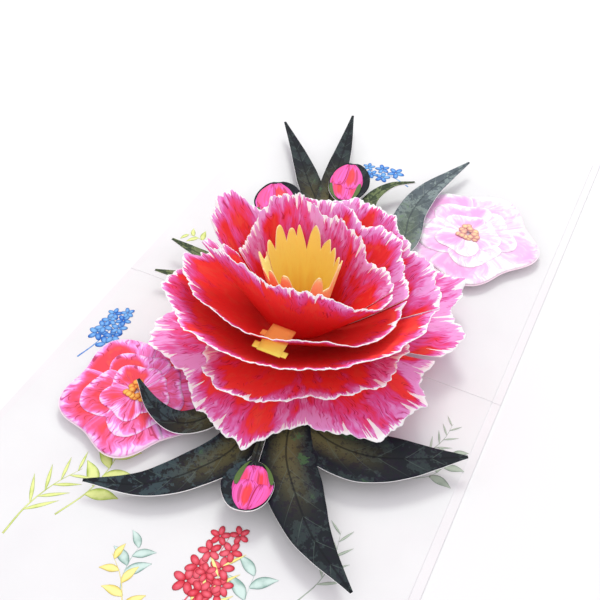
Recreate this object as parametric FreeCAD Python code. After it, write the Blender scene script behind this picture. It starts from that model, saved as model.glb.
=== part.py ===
import FreeCAD, Part
import math
import os

V = FreeCAD.Vector

# Pop-up flower card, lying open. X runs along the spine fold, Y across it towards the far page,
# Z up. The origin is under the middle of the spine, on the face that rests on the table. All
# lengths are millimetres, all angles degrees.

# Folded card and the printed sheet glued inside it
SPINE_LENGTH = 150.0
PAGE_WIDTH = 150.0
COVER_THICKNESS = 0.5
SHEET_THICKNESS = 0.3
SHEET_MARGIN = 3.0
SCORE_WIDTH = 1.2
SCORE_DEPTH = 0.15

# Card stock of everything that pops up
PAPER = 0.35

# Support boxes and the deck that carries leaves and flower
SUPPORT_HEIGHT = 7.0
SUPPORT_LENGTH = 30.0
SUPPORT_WIDTH = 12.0
SUPPORT_FROM_SPINE = 4.0
DECK_RADIUS = 37.0
DECK_SPINE_GAP = 0.4

# Petal layers: radius and height above the deck at the spine ends and at the middle of a page,
# the flat hub that is glued down, and how the wall curves up from it
LAYER_HUB_RADII = (31.0, 19.0, 15.0, 13.0, 11.5)
LAYER_END_RADII = (55.0, 47.5, 47.0, 40.0, 31.0)
LAYER_MID_RADII = (54.0, 48.5, 43.0, 34.0, 21.0)
LAYER_END_HEIGHTS = (4.5, 15.5, 25.5, 29.0, 31.5)
LAYER_MID_HEIGHTS = (2.5, 13.5, 23.0, 25.0, 33.0)
LAYER_WALL_POWERS = (1.6, 1.25, 1.2, 1.15, 1.1)
LAYER_LOBE_DEPTHS = (7.0, 3.0, 2.5, 1.6, 1.2)
LAYER_LOBE_COUNT = 6
LAYER_NOTCH_DEPTHS = (8.0, 6.0, 5.0, 4.5, 4.5)
NOTCH_WIDTH = 3.2
HUB_HOLE_RADIUS = 2.0
HALF_GAP_ANGLE = 1.2
PETAL_COLUMNS = 16

# Petals at the left end are drawn in against the flower: share by which each layer's rim comes in
# and down there, and the angle and spread over which it does
LAYER_TUCKS = (0.24, 0.28, 0.30, 0.04, 0.0)
LAYER_TUCK_ANGLES = (168.0, 190.0, 175.0, 180.0, 180.0)
LAYER_TUCK_SPREADS = (45.0, 65.0, 45.0, 30.0, 30.0)

# Two petals behind the stamens stand taller: share of the height added, angle and spread
LAYER_LIFTS = (0.0, 0.0, 0.0, 0.18, 0.13)
LAYER_LIFT_ANGLES = (150.0, 150.0, 150.0, 155.0, 118.0)
LIFT_SPREAD = 40.0

# Ring of stamens in the middle
STAMEN_BASE_RADIUS = 7.5
STAMEN_TOP_RADIUS = 13.5
STAMEN_HEIGHT = 28.0
STAMEN_TOOTH_DEPTH = 4.5
STAMEN_TOOTH_COUNT = 9
STAMEN_FOOT_RADIUS = 3.5

# Straps that pull the inner petals open as the card opens; they leave through the fourth layer
SLOTTED_LAYER_COUNT = 4
STRAP_WIDTH = 8.6
STRAP_OFFSET = 6.5
STRAP_EAR = 1.9
STRAP_EAR_LENGTH = 3.0
STRAP_STANDOFF = 5.0
STRAP_FOLD_INSET = 2.4
STRAP_EAR_INSET = 0.4
STRAP_START_HEIGHT = 11.5
STRAP_FOLD_HEIGHT = 23.2
STRAP_END_HEIGHT = 22.6
STRAP_SLOT_CLEARANCE = 0.35

# Side blossoms on their raising pads
BLOSSOM_PAD_HEIGHT = 3.0
BLOSSOM_PAD_SIZE = 16.0
BLOSSOM_PETALS = 5
BLOSSOM_LOBE = 0.16
LEFT_BLOSSOM_INSETS = (39.0, 98.0)
LEFT_BLOSSOM_RADIUS = 26.0
RIGHT_BLOSSOM_INSETS = (37.0, 76.0)
RIGHT_BLOSSOM_RADIUS = 29.0

# Leaf blades and buds: width of a stalk and a tip, how hollow a blade is, and the overlap by which
# a stalk is glued under the deck
LEAF_STALK = 2.2
LEAF_TIP = 0.5
LEAF_CUP = 1.2
ROOT_OVERLAP = 4.0
STALK_SAG = 0.05
BUD_STEM = 1.3
BLADE_STEPS = 16
BUD_STEPS = 24

# Leaves and buds: angle of the stalk, the places that the middle line goes through past the deck
# (x and y in deck radii, height over the page in box heights), half of the width in deck radii
# and, for a bud, the share of its length that is stem
FLAT_PAIR = (
    (-67.0, ((0.568, -1.432), (0.824, -1.757), (1.122, -2.041), (1.568, -2.311)), 0.265),
    (-65.0, ((0.757, -1.135), (1.135, -1.162), (1.514, -1.027), (1.959, -0.784)), 0.270),
)
LEAVES = {
    "leaf_front_left": (-89.0, ((0.135, -1.514, 0.86), (-0.081, -1.919, 0.80),
                                (-0.378, -2.203, 0.76), (-0.838, -2.392, 0.72)), 0.211),
    "leaf_left": (-104.0, ((-0.216, -1.351, 0.94), (-0.405, -1.554, 0.94),
                           (-0.676, -1.527, 1.03), (-0.973, -1.351, 1.25)), 0.149),
    "leaf_back_left": (121.0, ((-0.649, 1.676, 0.71), (-0.919, 2.027, 0.83),
                               (-1.216, 2.392, 0.91), (-1.649, 2.865, 1.10)), 0.165),
    "leaf_back_middle": (110.0, ((-0.514, 1.676, 1.03), (-0.662, 2.243, 1.07),
                                 (-0.784, 2.757, 1.10), (-0.946, 3.351, 1.14)), 0.162),
    "leaf_back_arched": (88.0, ((-0.054, 1.568, 0.99), (-0.108, 1.973, 1.06),
                                (0.000, 2.297, 1.07), (0.216, 2.486, 1.00)), 0.122),
    "leaf_back_right": (70.0, ((0.459, 1.486, 1.03), (0.378, 1.919, 1.03),
                               (0.405, 2.378, 1.02), (0.649, 3.135, 0.93)), 0.189),
    "leaf_left_upper": (160.0, ((-1.108, 0.324, 1.00), (-1.351, 0.351, 1.06),
                                (-1.730, 0.405, 1.14)), 0.095),
    "leaf_left_lower": (176.0, ((-1.108, 0.027, 0.97), (-1.351, 0.000, 0.99),
                                (-1.649, -0.054, 1.00)), 0.095),
}
BUDS = {
    "bud_front": (-78.0, ((0.311, -1.351, 1.17), (0.378, -1.622, 1.24),
                          (0.500, -2.095, 1.20)), 0.216, 0.64),
    "bud_back": (99.0, ((-0.243, 1.514, 1.23), (-0.351, 1.811, 1.34),
                        (-0.514, 2.405, 1.37)), 0.230, 0.56),
    "bud_back_left": (134.0, ((-0.811, 1.135, 1.06), (-0.946, 1.378, 1.16),
                              (-1.162, 1.757, 1.17)), 0.284, 0.40),
}

BASE_TOP = COVER_THICKNESS + SHEET_THICKNESS
DECK_BOTTOM = BASE_TOP + SUPPORT_HEIGHT
DECK_TOP = DECK_BOTTOM + PAPER
ROOT_RADIUS = DECK_RADIUS - ROOT_OVERLAP
NOTCH_ANGLES = (60.0, 120.0)
NEAR = -1
FAR = 1


def around(radius, angle, height=0.0):
    """Point at a radius, an angle from +X and a height."""
    turn = math.radians(angle)
    return V(radius * math.cos(turn), radius * math.sin(turn), height)


def clamped_knots(count, degree):
    """Knots and multiplicities of an evenly spaced spline that ends on its first and last pole."""
    spans = count - degree
    return [k / spans for k in range(spans + 1)], [degree + 1] + [1] * (spans - 1) + [degree + 1]


def smooth_face(grid):
    """Smooth face whose poles are a grid of points, so that it never swings past them."""
    degree = 3
    knots_along, mults_along = clamped_knots(len(grid), degree)
    knots_across, mults_across = clamped_knots(len(grid[0]), degree)
    surface = Part.BSplineSurface()
    surface.buildFromPolesMultsKnots(grid, mults_along, mults_across, knots_along, knots_across,
                                     False, False, degree, degree)
    return surface.toShape()


def sheet_from_grid(rows, thickness):
    """Closed sheet of even thickness under a grid of points on its upper face."""
    count = len(rows)
    width = len(rows[0])
    lower = []
    for i in range(count):
        line = []
        for j in range(width):
            along = rows[min(i + 1, count - 1)][j] - rows[max(i - 1, 0)][j]
            across = rows[i][min(j + 1, width - 1)] - rows[i][max(j - 1, 0)]
            normal = along.cross(across)
            normal.normalize()
            if normal.z < 0:
                normal = normal * -1
            line.append(rows[i][j] - normal * thickness)
        lower.append(line)
    faces = [smooth_face(rows), smooth_face(lower)]
    sides = []
    for edge in faces[0].Edges:
        middle = edge.valueAt((edge.FirstParameter + edge.LastParameter) / 2)
        twin = min(faces[1].Edges, key=lambda e: (
            e.valueAt((e.FirstParameter + e.LastParameter) / 2) - middle).Length)
        sides.append(Part.makeRuledSurface(edge, twin))
    shell = Part.makeShell(faces + sides)
    shell.sewShape()
    solid = Part.makeSolid(shell)
    if solid.Volume < 0:
        solid.reverse()
    return solid


def blend(end, middle, angle):
    """Value that goes from end, over the spine, to middle, over the middle of a page."""
    share = (1 + math.cos(math.radians(2 * angle))) / 2
    return middle + (end - middle) * share


def hump(angle, centre, spread):
    """1 at an angle, falling smoothly to 0 at a spread to either side of it."""
    away = abs((angle - centre + 180) % 360 - 180)
    return math.cos(math.pi / 2 * away / spread) ** 2 if away < spread else 0.0


def layer_point(index, angle, share):
    """Point on a petal layer: share 0 is the edge of its flat hub, 1 its lobed rim."""
    hub = LAYER_HUB_RADII[index]
    rim = blend(LAYER_END_RADII[index], LAYER_MID_RADII[index], angle)
    rise = blend(LAYER_END_HEIGHTS[index], LAYER_MID_HEIGHTS[index], angle)
    tuck = 1 - LAYER_TUCKS[index] * hump(angle, LAYER_TUCK_ANGLES[index], LAYER_TUCK_SPREADS[index])
    lift = 1 + LAYER_LIFTS[index] * hump(angle, LAYER_LIFT_ANGLES[index], LIFT_SPREAD)
    rim *= tuck
    rise *= tuck * lift
    rim += math.cos(math.radians(LAYER_LOBE_COUNT * (angle + 90))) * LAYER_LOBE_DEPTHS[index] / 2
    radius = hub + (rim - hub) * share
    height = DECK_TOP + (index + 1) * PAPER + rise * share ** LAYER_WALL_POWERS[index]
    return around(radius, angle, height)


def petal_half(index, side):
    """One half of a petal layer, over the near or the far page."""
    floor = DECK_TOP + (index + 1) * PAPER
    hub = LAYER_HUB_RADII[index]
    start = HALF_GAP_ANGLE if side == FAR else HALF_GAP_ANGLE - 180
    step = (180 - 2 * HALF_GAP_ANGLE) / PETAL_COLUMNS
    angles = [start + step * k for k in range(PETAL_COLUMNS + 1)]
    rows = []
    for radius in (HUB_HOLE_RADIUS, hub * 0.5, hub * 0.8):
        rows.append([around(radius, angle, floor) for angle in angles])
    for share in (0.0, 0.3, 0.65, 1.0):
        rows.append([layer_point(index, angle, share) for angle in angles])
    sheet = sheet_from_grid(rows, PAPER)
    for angle in NOTCH_ANGLES:
        sheet = sheet.cut(notch_wedge(index, angle * side))
    return sheet


def notch_wedge(index, angle):
    """Upright wedge between two petals of a layer, open past the rim and closed inwards."""
    rim = blend(LAYER_END_RADII[index], LAYER_MID_RADII[index], angle)
    outer = rim + LAYER_LOBE_DEPTHS[index]
    corners = [V(rim - LAYER_NOTCH_DEPTHS[index], 0, DECK_TOP), V(outer, NOTCH_WIDTH, DECK_TOP),
               V(outer, -NOTCH_WIDTH, DECK_TOP)]
    height = max(LAYER_END_HEIGHTS[index], LAYER_MID_HEIGHTS[index]) * 2
    wedge = Part.Face(Part.makePolygon(corners + corners[:1])).extrude(V(0, 0, height))
    return wedge.rotated(V(0, 0, 0), V(0, 0, 1), angle)


def stamen_half(side):
    """Half of the stamen ring: a leaning wall with a glued foot and teeth cut into its top."""
    floor = DECK_TOP + len(LAYER_HUB_RADII) * PAPER
    lean = (STAMEN_TOP_RADIUS - STAMEN_BASE_RADIUS) / STAMEN_HEIGHT
    top = floor + STAMEN_HEIGHT
    section = [
        V(STAMEN_FOOT_RADIUS, 0, floor), V(STAMEN_BASE_RADIUS, 0, floor), V(STAMEN_TOP_RADIUS, 0, top),
        V(STAMEN_TOP_RADIUS - PAPER, 0, top), V(STAMEN_BASE_RADIUS - PAPER + PAPER * lean, 0, floor + PAPER),
        V(STAMEN_FOOT_RADIUS, 0, floor + PAPER),
    ]
    sweep = 180 - 4 * HALF_GAP_ANGLE
    start = 2 * HALF_GAP_ANGLE if side == FAR else 2 * HALF_GAP_ANGLE - 180
    face = Part.Face(Part.makePolygon(section + section[:1]))
    wall = face.revolve(V(0, 0, 0), V(0, 0, 1), sweep).rotated(V(0, 0, 0), V(0, 0, 1), start)
    pitch = sweep / STAMEN_TOOTH_COUNT
    reach = STAMEN_TOP_RADIUS + 2
    half_gap = STAMEN_TOP_RADIUS * math.radians(pitch) * 0.4
    for k in range(STAMEN_TOOTH_COUNT - 1):
        notch = [V(0, 0, top - STAMEN_TOOTH_DEPTH), V(0, half_gap, top + 1), V(0, -half_gap, top + 1)]
        wedge = Part.Face(Part.makePolygon(notch + notch[:1])).extrude(V(reach, 0, 0))
        wall = wall.cut(wedge.rotated(V(0, 0, 0), V(0, 0, 1), start + pitch * (k + 1)))
    return wall


def strap_band(side, start, start_height, end, end_height, width, thickness, drop):
    """Level-sided band of strap between two distances from the spine, each with its height."""
    corners = []
    for reach, across, height in ((start, -width / 2, start_height), (end, -width / 2, end_height),
                                  (end, width / 2, end_height), (start, width / 2, start_height)):
        corners.append(V(across - side * STRAP_OFFSET, side * reach, DECK_TOP + height - drop))
    return Part.Face(Part.makePolygon(corners + corners[:1])).extrude(V(0, 0, thickness))


def strap_run(side, width, thickness, drop):
    """The two legs of a strap that meet at its fold, and the place where its ears begin."""
    start = LAYER_HUB_RADII[-1] + STRAP_STANDOFF
    fold = LAYER_MID_RADII[SLOTTED_LAYER_COUNT - 1] - STRAP_FOLD_INSET
    ears = LAYER_MID_RADII[SLOTTED_LAYER_COUNT - 1] - STRAP_EAR_INSET
    end = ears + STRAP_EAR_LENGTH
    drop_per_length = (STRAP_FOLD_HEIGHT - STRAP_END_HEIGHT) / (end - fold)
    ear_height = STRAP_FOLD_HEIGHT - drop_per_length * (ears - fold)
    rising = strap_band(side, start, STRAP_START_HEIGHT, fold, STRAP_FOLD_HEIGHT, width, thickness, drop)
    level = strap_band(side, fold, STRAP_FOLD_HEIGHT, ears, ear_height, width, thickness, drop)
    return rising.fuse(level), ears, ear_height, end


def strap(side):
    """Folded strap from the inner petals out through a slot, with locking ears."""
    legs, ears, ear_height, end = strap_run(side, STRAP_WIDTH, PAPER, 0)
    tee = strap_band(side, ears, ear_height, end, STRAP_END_HEIGHT, STRAP_WIDTH + 2 * STRAP_EAR, PAPER, 0)
    return legs.fuse(tee).removeSplitter()


def strap_slot(side):
    """Room that a strap needs where it passes through a petal layer."""
    clear = STRAP_SLOT_CLEARANCE
    return strap_run(side, STRAP_WIDTH + 2 * clear, PAPER + 2 * clear, clear)[0]


def ribbon(points, half_width, cup, steps):
    """Leaf-like sheet along a smooth line; half_width gives its half width at a share of it."""
    line = Part.BSplineCurve()
    line.interpolate(points)
    first, last = line.FirstParameter, line.LastParameter
    rows = []
    for k in range(steps + 1):
        share = k / steps
        where = first + (last - first) * share
        tangent = V(*line.tangent(where)[0])
        sideways = V(-tangent.y, tangent.x, 0)
        sideways.normalize()
        half = half_width(share)
        row = []
        for place in (-1.0, -0.5, 0.0, 0.5, 1.0):
            lift = cup * (place * place - 1) * half / 10
            row.append(line.value(where) + sideways * (half * place) + V(0, 0, lift))
        rows.append(row)
    return sheet_from_grid(rows, PAPER)


def blade(widest):
    """Half width of a leaf from its stalk at share 0 to its pointed tip at share 1."""
    def half_width(share):
        swell = math.sin(math.pi * share ** 0.85) ** 1.1 if 0 < share < 1 else 0
        return LEAF_STALK * (1 - share) + LEAF_TIP * share + (widest - LEAF_STALK) * swell
    return half_width


def flat_leaf(points, half_width, steps=14):
    """Flat leaf cut along a smooth line at the height of its first point."""
    line = Part.BSplineCurve()
    line.interpolate([V(p.x, p.y, points[0].z) for p in points])
    first, last = line.FirstParameter, line.LastParameter
    left, right = [], []
    for k in range(steps + 1):
        where = first + (last - first) * k / steps
        tangent = V(*line.tangent(where)[0])
        sideways = V(-tangent.y, tangent.x, 0) * half_width(k / steps)
        left.append(line.value(where) + sideways)
        right.append(line.value(where) - sideways)
    edges = []
    for side in (left, right):
        curve = Part.BSplineCurve()
        curve.interpolate(side)
        edges.append(curve.toShape())
    edges.append(Part.makeLine(left[0], right[0]))
    edges.append(Part.makeLine(left[-1], right[-1]))
    wire = Part.Wire(Part.__sortEdges__(edges))
    return Part.Face(wire).extrude(V(0, 0, -PAPER))


def bud_outline(widest, stem_share):
    """Half width of a bud on its stem; the stem takes stem_share of the length."""
    def half_width(share):
        if share < stem_share:
            return BUD_STEM
        along = (share - stem_share) / (1 - stem_share)
        return BUD_STEM + (widest - BUD_STEM) * math.sin(math.pi * along) ** 0.5
    return half_width


def root(angle):
    """Two points of a stalk: its glued end under the deck, and where it leaves the deck's edge."""
    edge = around(DECK_RADIUS, angle, DECK_BOTTOM - STALK_SAG)
    return [around(ROOT_RADIUS, angle, DECK_BOTTOM - STALK_SAG), edge]


def line_past_deck(angle, places):
    """Points of a stalk and its blade; places are in deck radii and box heights."""
    points = root(angle)
    for place in places:
        height = BASE_TOP + place[2] * SUPPORT_HEIGHT if len(place) == 3 else points[0].z
        points.append(V(place[0] * DECK_RADIUS, place[1] * DECK_RADIUS, height))
    return points


def blossom(centre, radius):
    """Flat die-cut blossom with rounded petals."""
    points = []
    count = BLOSSOM_PETALS * 6
    for k in range(count):
        angle = 360 * k / count
        lobe = (1 + math.cos(math.radians(BLOSSOM_PETALS * angle))) / 2
        points.append(around(radius * (1 - BLOSSOM_LOBE + BLOSSOM_LOBE * lobe), angle))
    curve = Part.BSplineCurve()
    curve.interpolate(points, PeriodicFlag=True)
    plate = Part.Face(Part.Wire(curve.toShape())).extrude(V(0, 0, PAPER))
    return plate.translated(centre + V(0, 0, BASE_TOP + BLOSSOM_PAD_HEIGHT))


def blossom_pad(centre):
    """Block that raises a side blossom off the page."""
    size = BLOSSOM_PAD_SIZE
    return Part.makeBox(size, size, BLOSSOM_PAD_HEIGHT, centre + V(-size / 2, -size / 2, BASE_TOP))


def scored_sheet(length, width, thickness, floor):
    """Flat sheet across both pages, with a score along the spine in its upper face."""
    plate = Part.makeBox(length, width, thickness, V(-length / 2, -width / 2, floor))
    groove = Part.makeBox(length, SCORE_WIDTH, SCORE_DEPTH,
                          V(-length / 2, -SCORE_WIDTH / 2, floor + thickness - SCORE_DEPTH))
    return plate.cut(groove)


def support_box(side):
    """Folded square tube glued to a page, which lifts the deck as the card opens."""
    near_edge = SUPPORT_FROM_SPINE if side == FAR else -SUPPORT_FROM_SPINE - SUPPORT_WIDTH
    outer = Part.makeBox(SUPPORT_LENGTH, SUPPORT_WIDTH, SUPPORT_HEIGHT,
                         V(-SUPPORT_LENGTH / 2, near_edge, BASE_TOP))
    inner = Part.makeBox(SUPPORT_LENGTH, SUPPORT_WIDTH - 2 * PAPER, SUPPORT_HEIGHT - 2 * PAPER,
                         V(-SUPPORT_LENGTH / 2, near_edge + PAPER, BASE_TOP + PAPER))
    return outer.cut(inner)


def deck_half(side):
    """Half disc that carries the leaves underneath and the petals on top."""
    disc = Part.makeCylinder(DECK_RADIUS, PAPER, V(0, 0, DECK_BOTTOM))
    reach = DECK_RADIUS + 1
    start = DECK_SPINE_GAP / 2 if side == FAR else -DECK_SPINE_GAP / 2 - reach
    keep = Part.makeBox(2 * reach, reach, SUPPORT_HEIGHT, V(-reach, start, BASE_TOP + PAPER))
    return disc.common(keep.translated(V(0, 0, SUPPORT_HEIGHT / 2)))


def main():
    parts = {}
    parts["cover_card"] = scored_sheet(SPINE_LENGTH, 2 * PAGE_WIDTH, COVER_THICKNESS, 0)
    parts["printed_sheet"] = scored_sheet(
        SPINE_LENGTH - 2 * SHEET_MARGIN, 2 * (PAGE_WIDTH - SHEET_MARGIN), SHEET_THICKNESS, COVER_THICKNESS)

    for name, side in (("near", NEAR), ("far", FAR)):
        parts[f"support_box_{name}"] = support_box(side)
        parts[f"deck_{name}"] = deck_half(side)
        for index in range(len(LAYER_HUB_RADII)):
            petal = petal_half(index, side)
            if index == SLOTTED_LAYER_COUNT - 1:
                petal = petal.cut(strap_slot(side))
            parts[f"petal_layer_{index + 1}_{name}"] = petal
        parts[f"stamens_{name}"] = stamen_half(side)
        parts[f"lock_strap_{name}"] = strap(side)

    pair = [flat_leaf(line_past_deck(angle, places), blade(width * DECK_RADIUS))
            for angle, places, width in FLAT_PAIR]
    parts["leaf_pair_front"] = pair[0].fuse(pair[1]).removeSplitter()
    for name, (angle, places, width) in LEAVES.items():
        line = line_past_deck(angle, places)
        parts[name] = ribbon(line, blade(width * DECK_RADIUS), LEAF_CUP, BLADE_STEPS)
    for name, (angle, places, width, stem_share) in BUDS.items():
        line = line_past_deck(angle, places)
        parts[name] = ribbon(line, bud_outline(width * DECK_RADIUS, stem_share), LEAF_CUP, BUD_STEPS)

    left = V(LEFT_BLOSSOM_INSETS[0] - SPINE_LENGTH / 2, LEFT_BLOSSOM_INSETS[1] - PAGE_WIDTH, 0)
    right = V(SPINE_LENGTH / 2 - RIGHT_BLOSSOM_INSETS[0], PAGE_WIDTH - RIGHT_BLOSSOM_INSETS[1], 0)
    for name, centre, radius in (("left", left, LEFT_BLOSSOM_RADIUS),
                                 ("right", right, RIGHT_BLOSSOM_RADIUS)):
        parts[f"side_blossom_{name}"] = blossom(centre, radius)
        parts[f"blossom_pad_{name}"] = blossom_pad(centre)

    os.makedirs("parts", exist_ok=True)
    for name, shape in parts.items():
        print(name, "solids", len(shape.Solids), "valid", shape.isValid(), "volume", round(shape.Volume, 1))
        shape.exportStep(f"parts/{name}.step")


main()
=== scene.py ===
import functools
import logging
import math
from collections.abc import Callable, Sequence
from dataclasses import dataclass, field
from enum import Enum

import bmesh
import bpy
from mathutils import Matrix, Vector, noise


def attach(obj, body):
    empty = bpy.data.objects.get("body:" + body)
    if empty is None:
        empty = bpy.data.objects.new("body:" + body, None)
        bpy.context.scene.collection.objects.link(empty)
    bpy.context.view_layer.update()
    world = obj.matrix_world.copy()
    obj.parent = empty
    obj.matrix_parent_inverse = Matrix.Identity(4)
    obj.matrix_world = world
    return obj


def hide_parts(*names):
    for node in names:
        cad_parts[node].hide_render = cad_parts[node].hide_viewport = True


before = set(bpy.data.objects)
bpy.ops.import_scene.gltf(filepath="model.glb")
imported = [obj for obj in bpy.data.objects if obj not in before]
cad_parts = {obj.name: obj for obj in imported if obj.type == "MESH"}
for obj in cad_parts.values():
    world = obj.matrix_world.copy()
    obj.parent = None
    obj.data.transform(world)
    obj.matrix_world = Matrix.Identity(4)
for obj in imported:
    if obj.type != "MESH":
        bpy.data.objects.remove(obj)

LOG = logging.getLogger("flower_card")
MM = 0.001
BODY = "root"

PAPER = 0.35
PETAL_CARD = 0.25
SHEET_TOP = 0.8
DECK_TOP = 8.15
DECK_BOTTOM = 7.8
DECK_RADIUS = 37.0
ROOT_RADIUS = 33.0
STALK_SAG = 0.05
BOX_HEIGHT = 7.0
HALF_GAP = 1.2
GOLDEN_ANGLE = 137.5

Colour = tuple[float, float, float, float]
Shape = Callable[[float, float], tuple[Vector, Vector]]
Path = tuple[Vector, ...]
Outline = tuple[tuple[float, float], ...]


def ink(code: str) -> Colour:
    """Colour as the shader wants it, from the usual six hexadecimal digits.

    Args:
        code: Red, green and blue as six hexadecimal digits.

    Returns:
        Linear red, green, blue and an alpha of one.
    """
    values = [int(code[place:place + 2], 16) / 255 for place in (0, 2, 4)]
    linear = [v / 12.92 if v <= 0.04045 else ((v + 0.055) / 1.055) ** 2.4 for v in values]
    return (linear[0], linear[1], linear[2], 1.0)


def mix(first: float, second: float, share: float) -> float:
    """Value a share of the way from first to second."""
    return first + (second - first) * share


def ease(share: float) -> float:
    """Share from 0 to 1, made to start and stop gently."""
    held = min(max(share, 0.0), 1.0)
    return held * held * (3 - 2 * held)


def ripple(place: float, seed: float) -> float:
    """Smooth wavering between about -1 and 1, the same on each run.

    Args:
        place: Where along the waver, in units of about one wave.
        seed: Which waver; another number gives another one.

    Returns:
        The wavering value.
    """
    return noise.noise(Vector((place, seed * 7.31, seed * 1.7)))


def around(radius: float, angle: float, height: float = 0.0) -> Vector:
    """Point at a radius, an angle in degrees from the spine's +X end, and a height."""
    turn = math.radians(angle)
    return Vector((radius * math.cos(turn), radius * math.sin(turn), height))


def apart(first: float, second: float) -> float:
    """Degrees between two directions, without a sign."""
    return abs((first - second + 180) % 360 - 180)


def hump(angle: float, centre: float, spread: float) -> float:
    """1 at the centre angle, falling smoothly to 0 at the spread to either side."""
    away = apart(angle, centre)
    return math.cos(math.pi / 2 * away / spread) ** 2 if away < spread else 0.0


def along_outline(outline: Outline, angle: float) -> float:
    """Value of a closed outline at an angle, eased between its points.

    Args:
        outline: Angles from -180 up, each with its value.
        angle: Degrees round the flower.

    Returns:
        The value there.
    """
    turned = (angle + 180) % 360 - 180
    first, value = outline[-1][0] - 360, outline[-1][1]
    for place, after in (*outline, (outline[0][0] + 360, outline[0][1])):
        if turned <= place:
            return mix(value, after, ease((turned - first) / (place - first)))
        first, value = place, after
    return value


def flow(points: Path, share: float) -> tuple[Vector, Vector]:
    """Point and direction at a share of a smooth line through some points.

    Args:
        points: The points that the line goes through.
        share: How far along the line, from 0 to 1.

    Returns:
        The point, and the direction of the line there.
    """
    gaps = [(b - a).length for a, b in zip(points, points[1:])]
    left = share * sum(gaps)
    index = 0
    while index < len(gaps) - 1 and left > gaps[index]:
        left -= gaps[index]
        index += 1
    t = min(left / gaps[index], 1.0)
    slopes = []
    for k in (index, index + 1):
        before, after = max(k - 1, 0), min(k + 1, len(points) - 1)
        slopes.append((points[after] - points[before]) / sum(gaps[before:after]) * gaps[index])
    start, end = points[index], points[index + 1]
    place = (start * (2 * t ** 3 - 3 * t ** 2 + 1) + slopes[0] * (t ** 3 - 2 * t ** 2 + t)
             + end * (3 * t ** 2 - 2 * t ** 3) + slopes[1] * (t ** 3 - t ** 2))
    direction = (start * (6 * t ** 2 - 6 * t) + slopes[0] * (3 * t ** 2 - 4 * t + 1)
                 + end * (6 * t - 6 * t ** 2) + slopes[1] * (3 * t ** 2 - 2 * t))
    return place, direction.normalized()


class Side(Enum):
    """The page that a half belongs to."""

    NEAR = -1
    FAR = 1

    @property
    def label(self) -> str:
        """Word that ends the half's name."""
        return self.name.lower()


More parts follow.
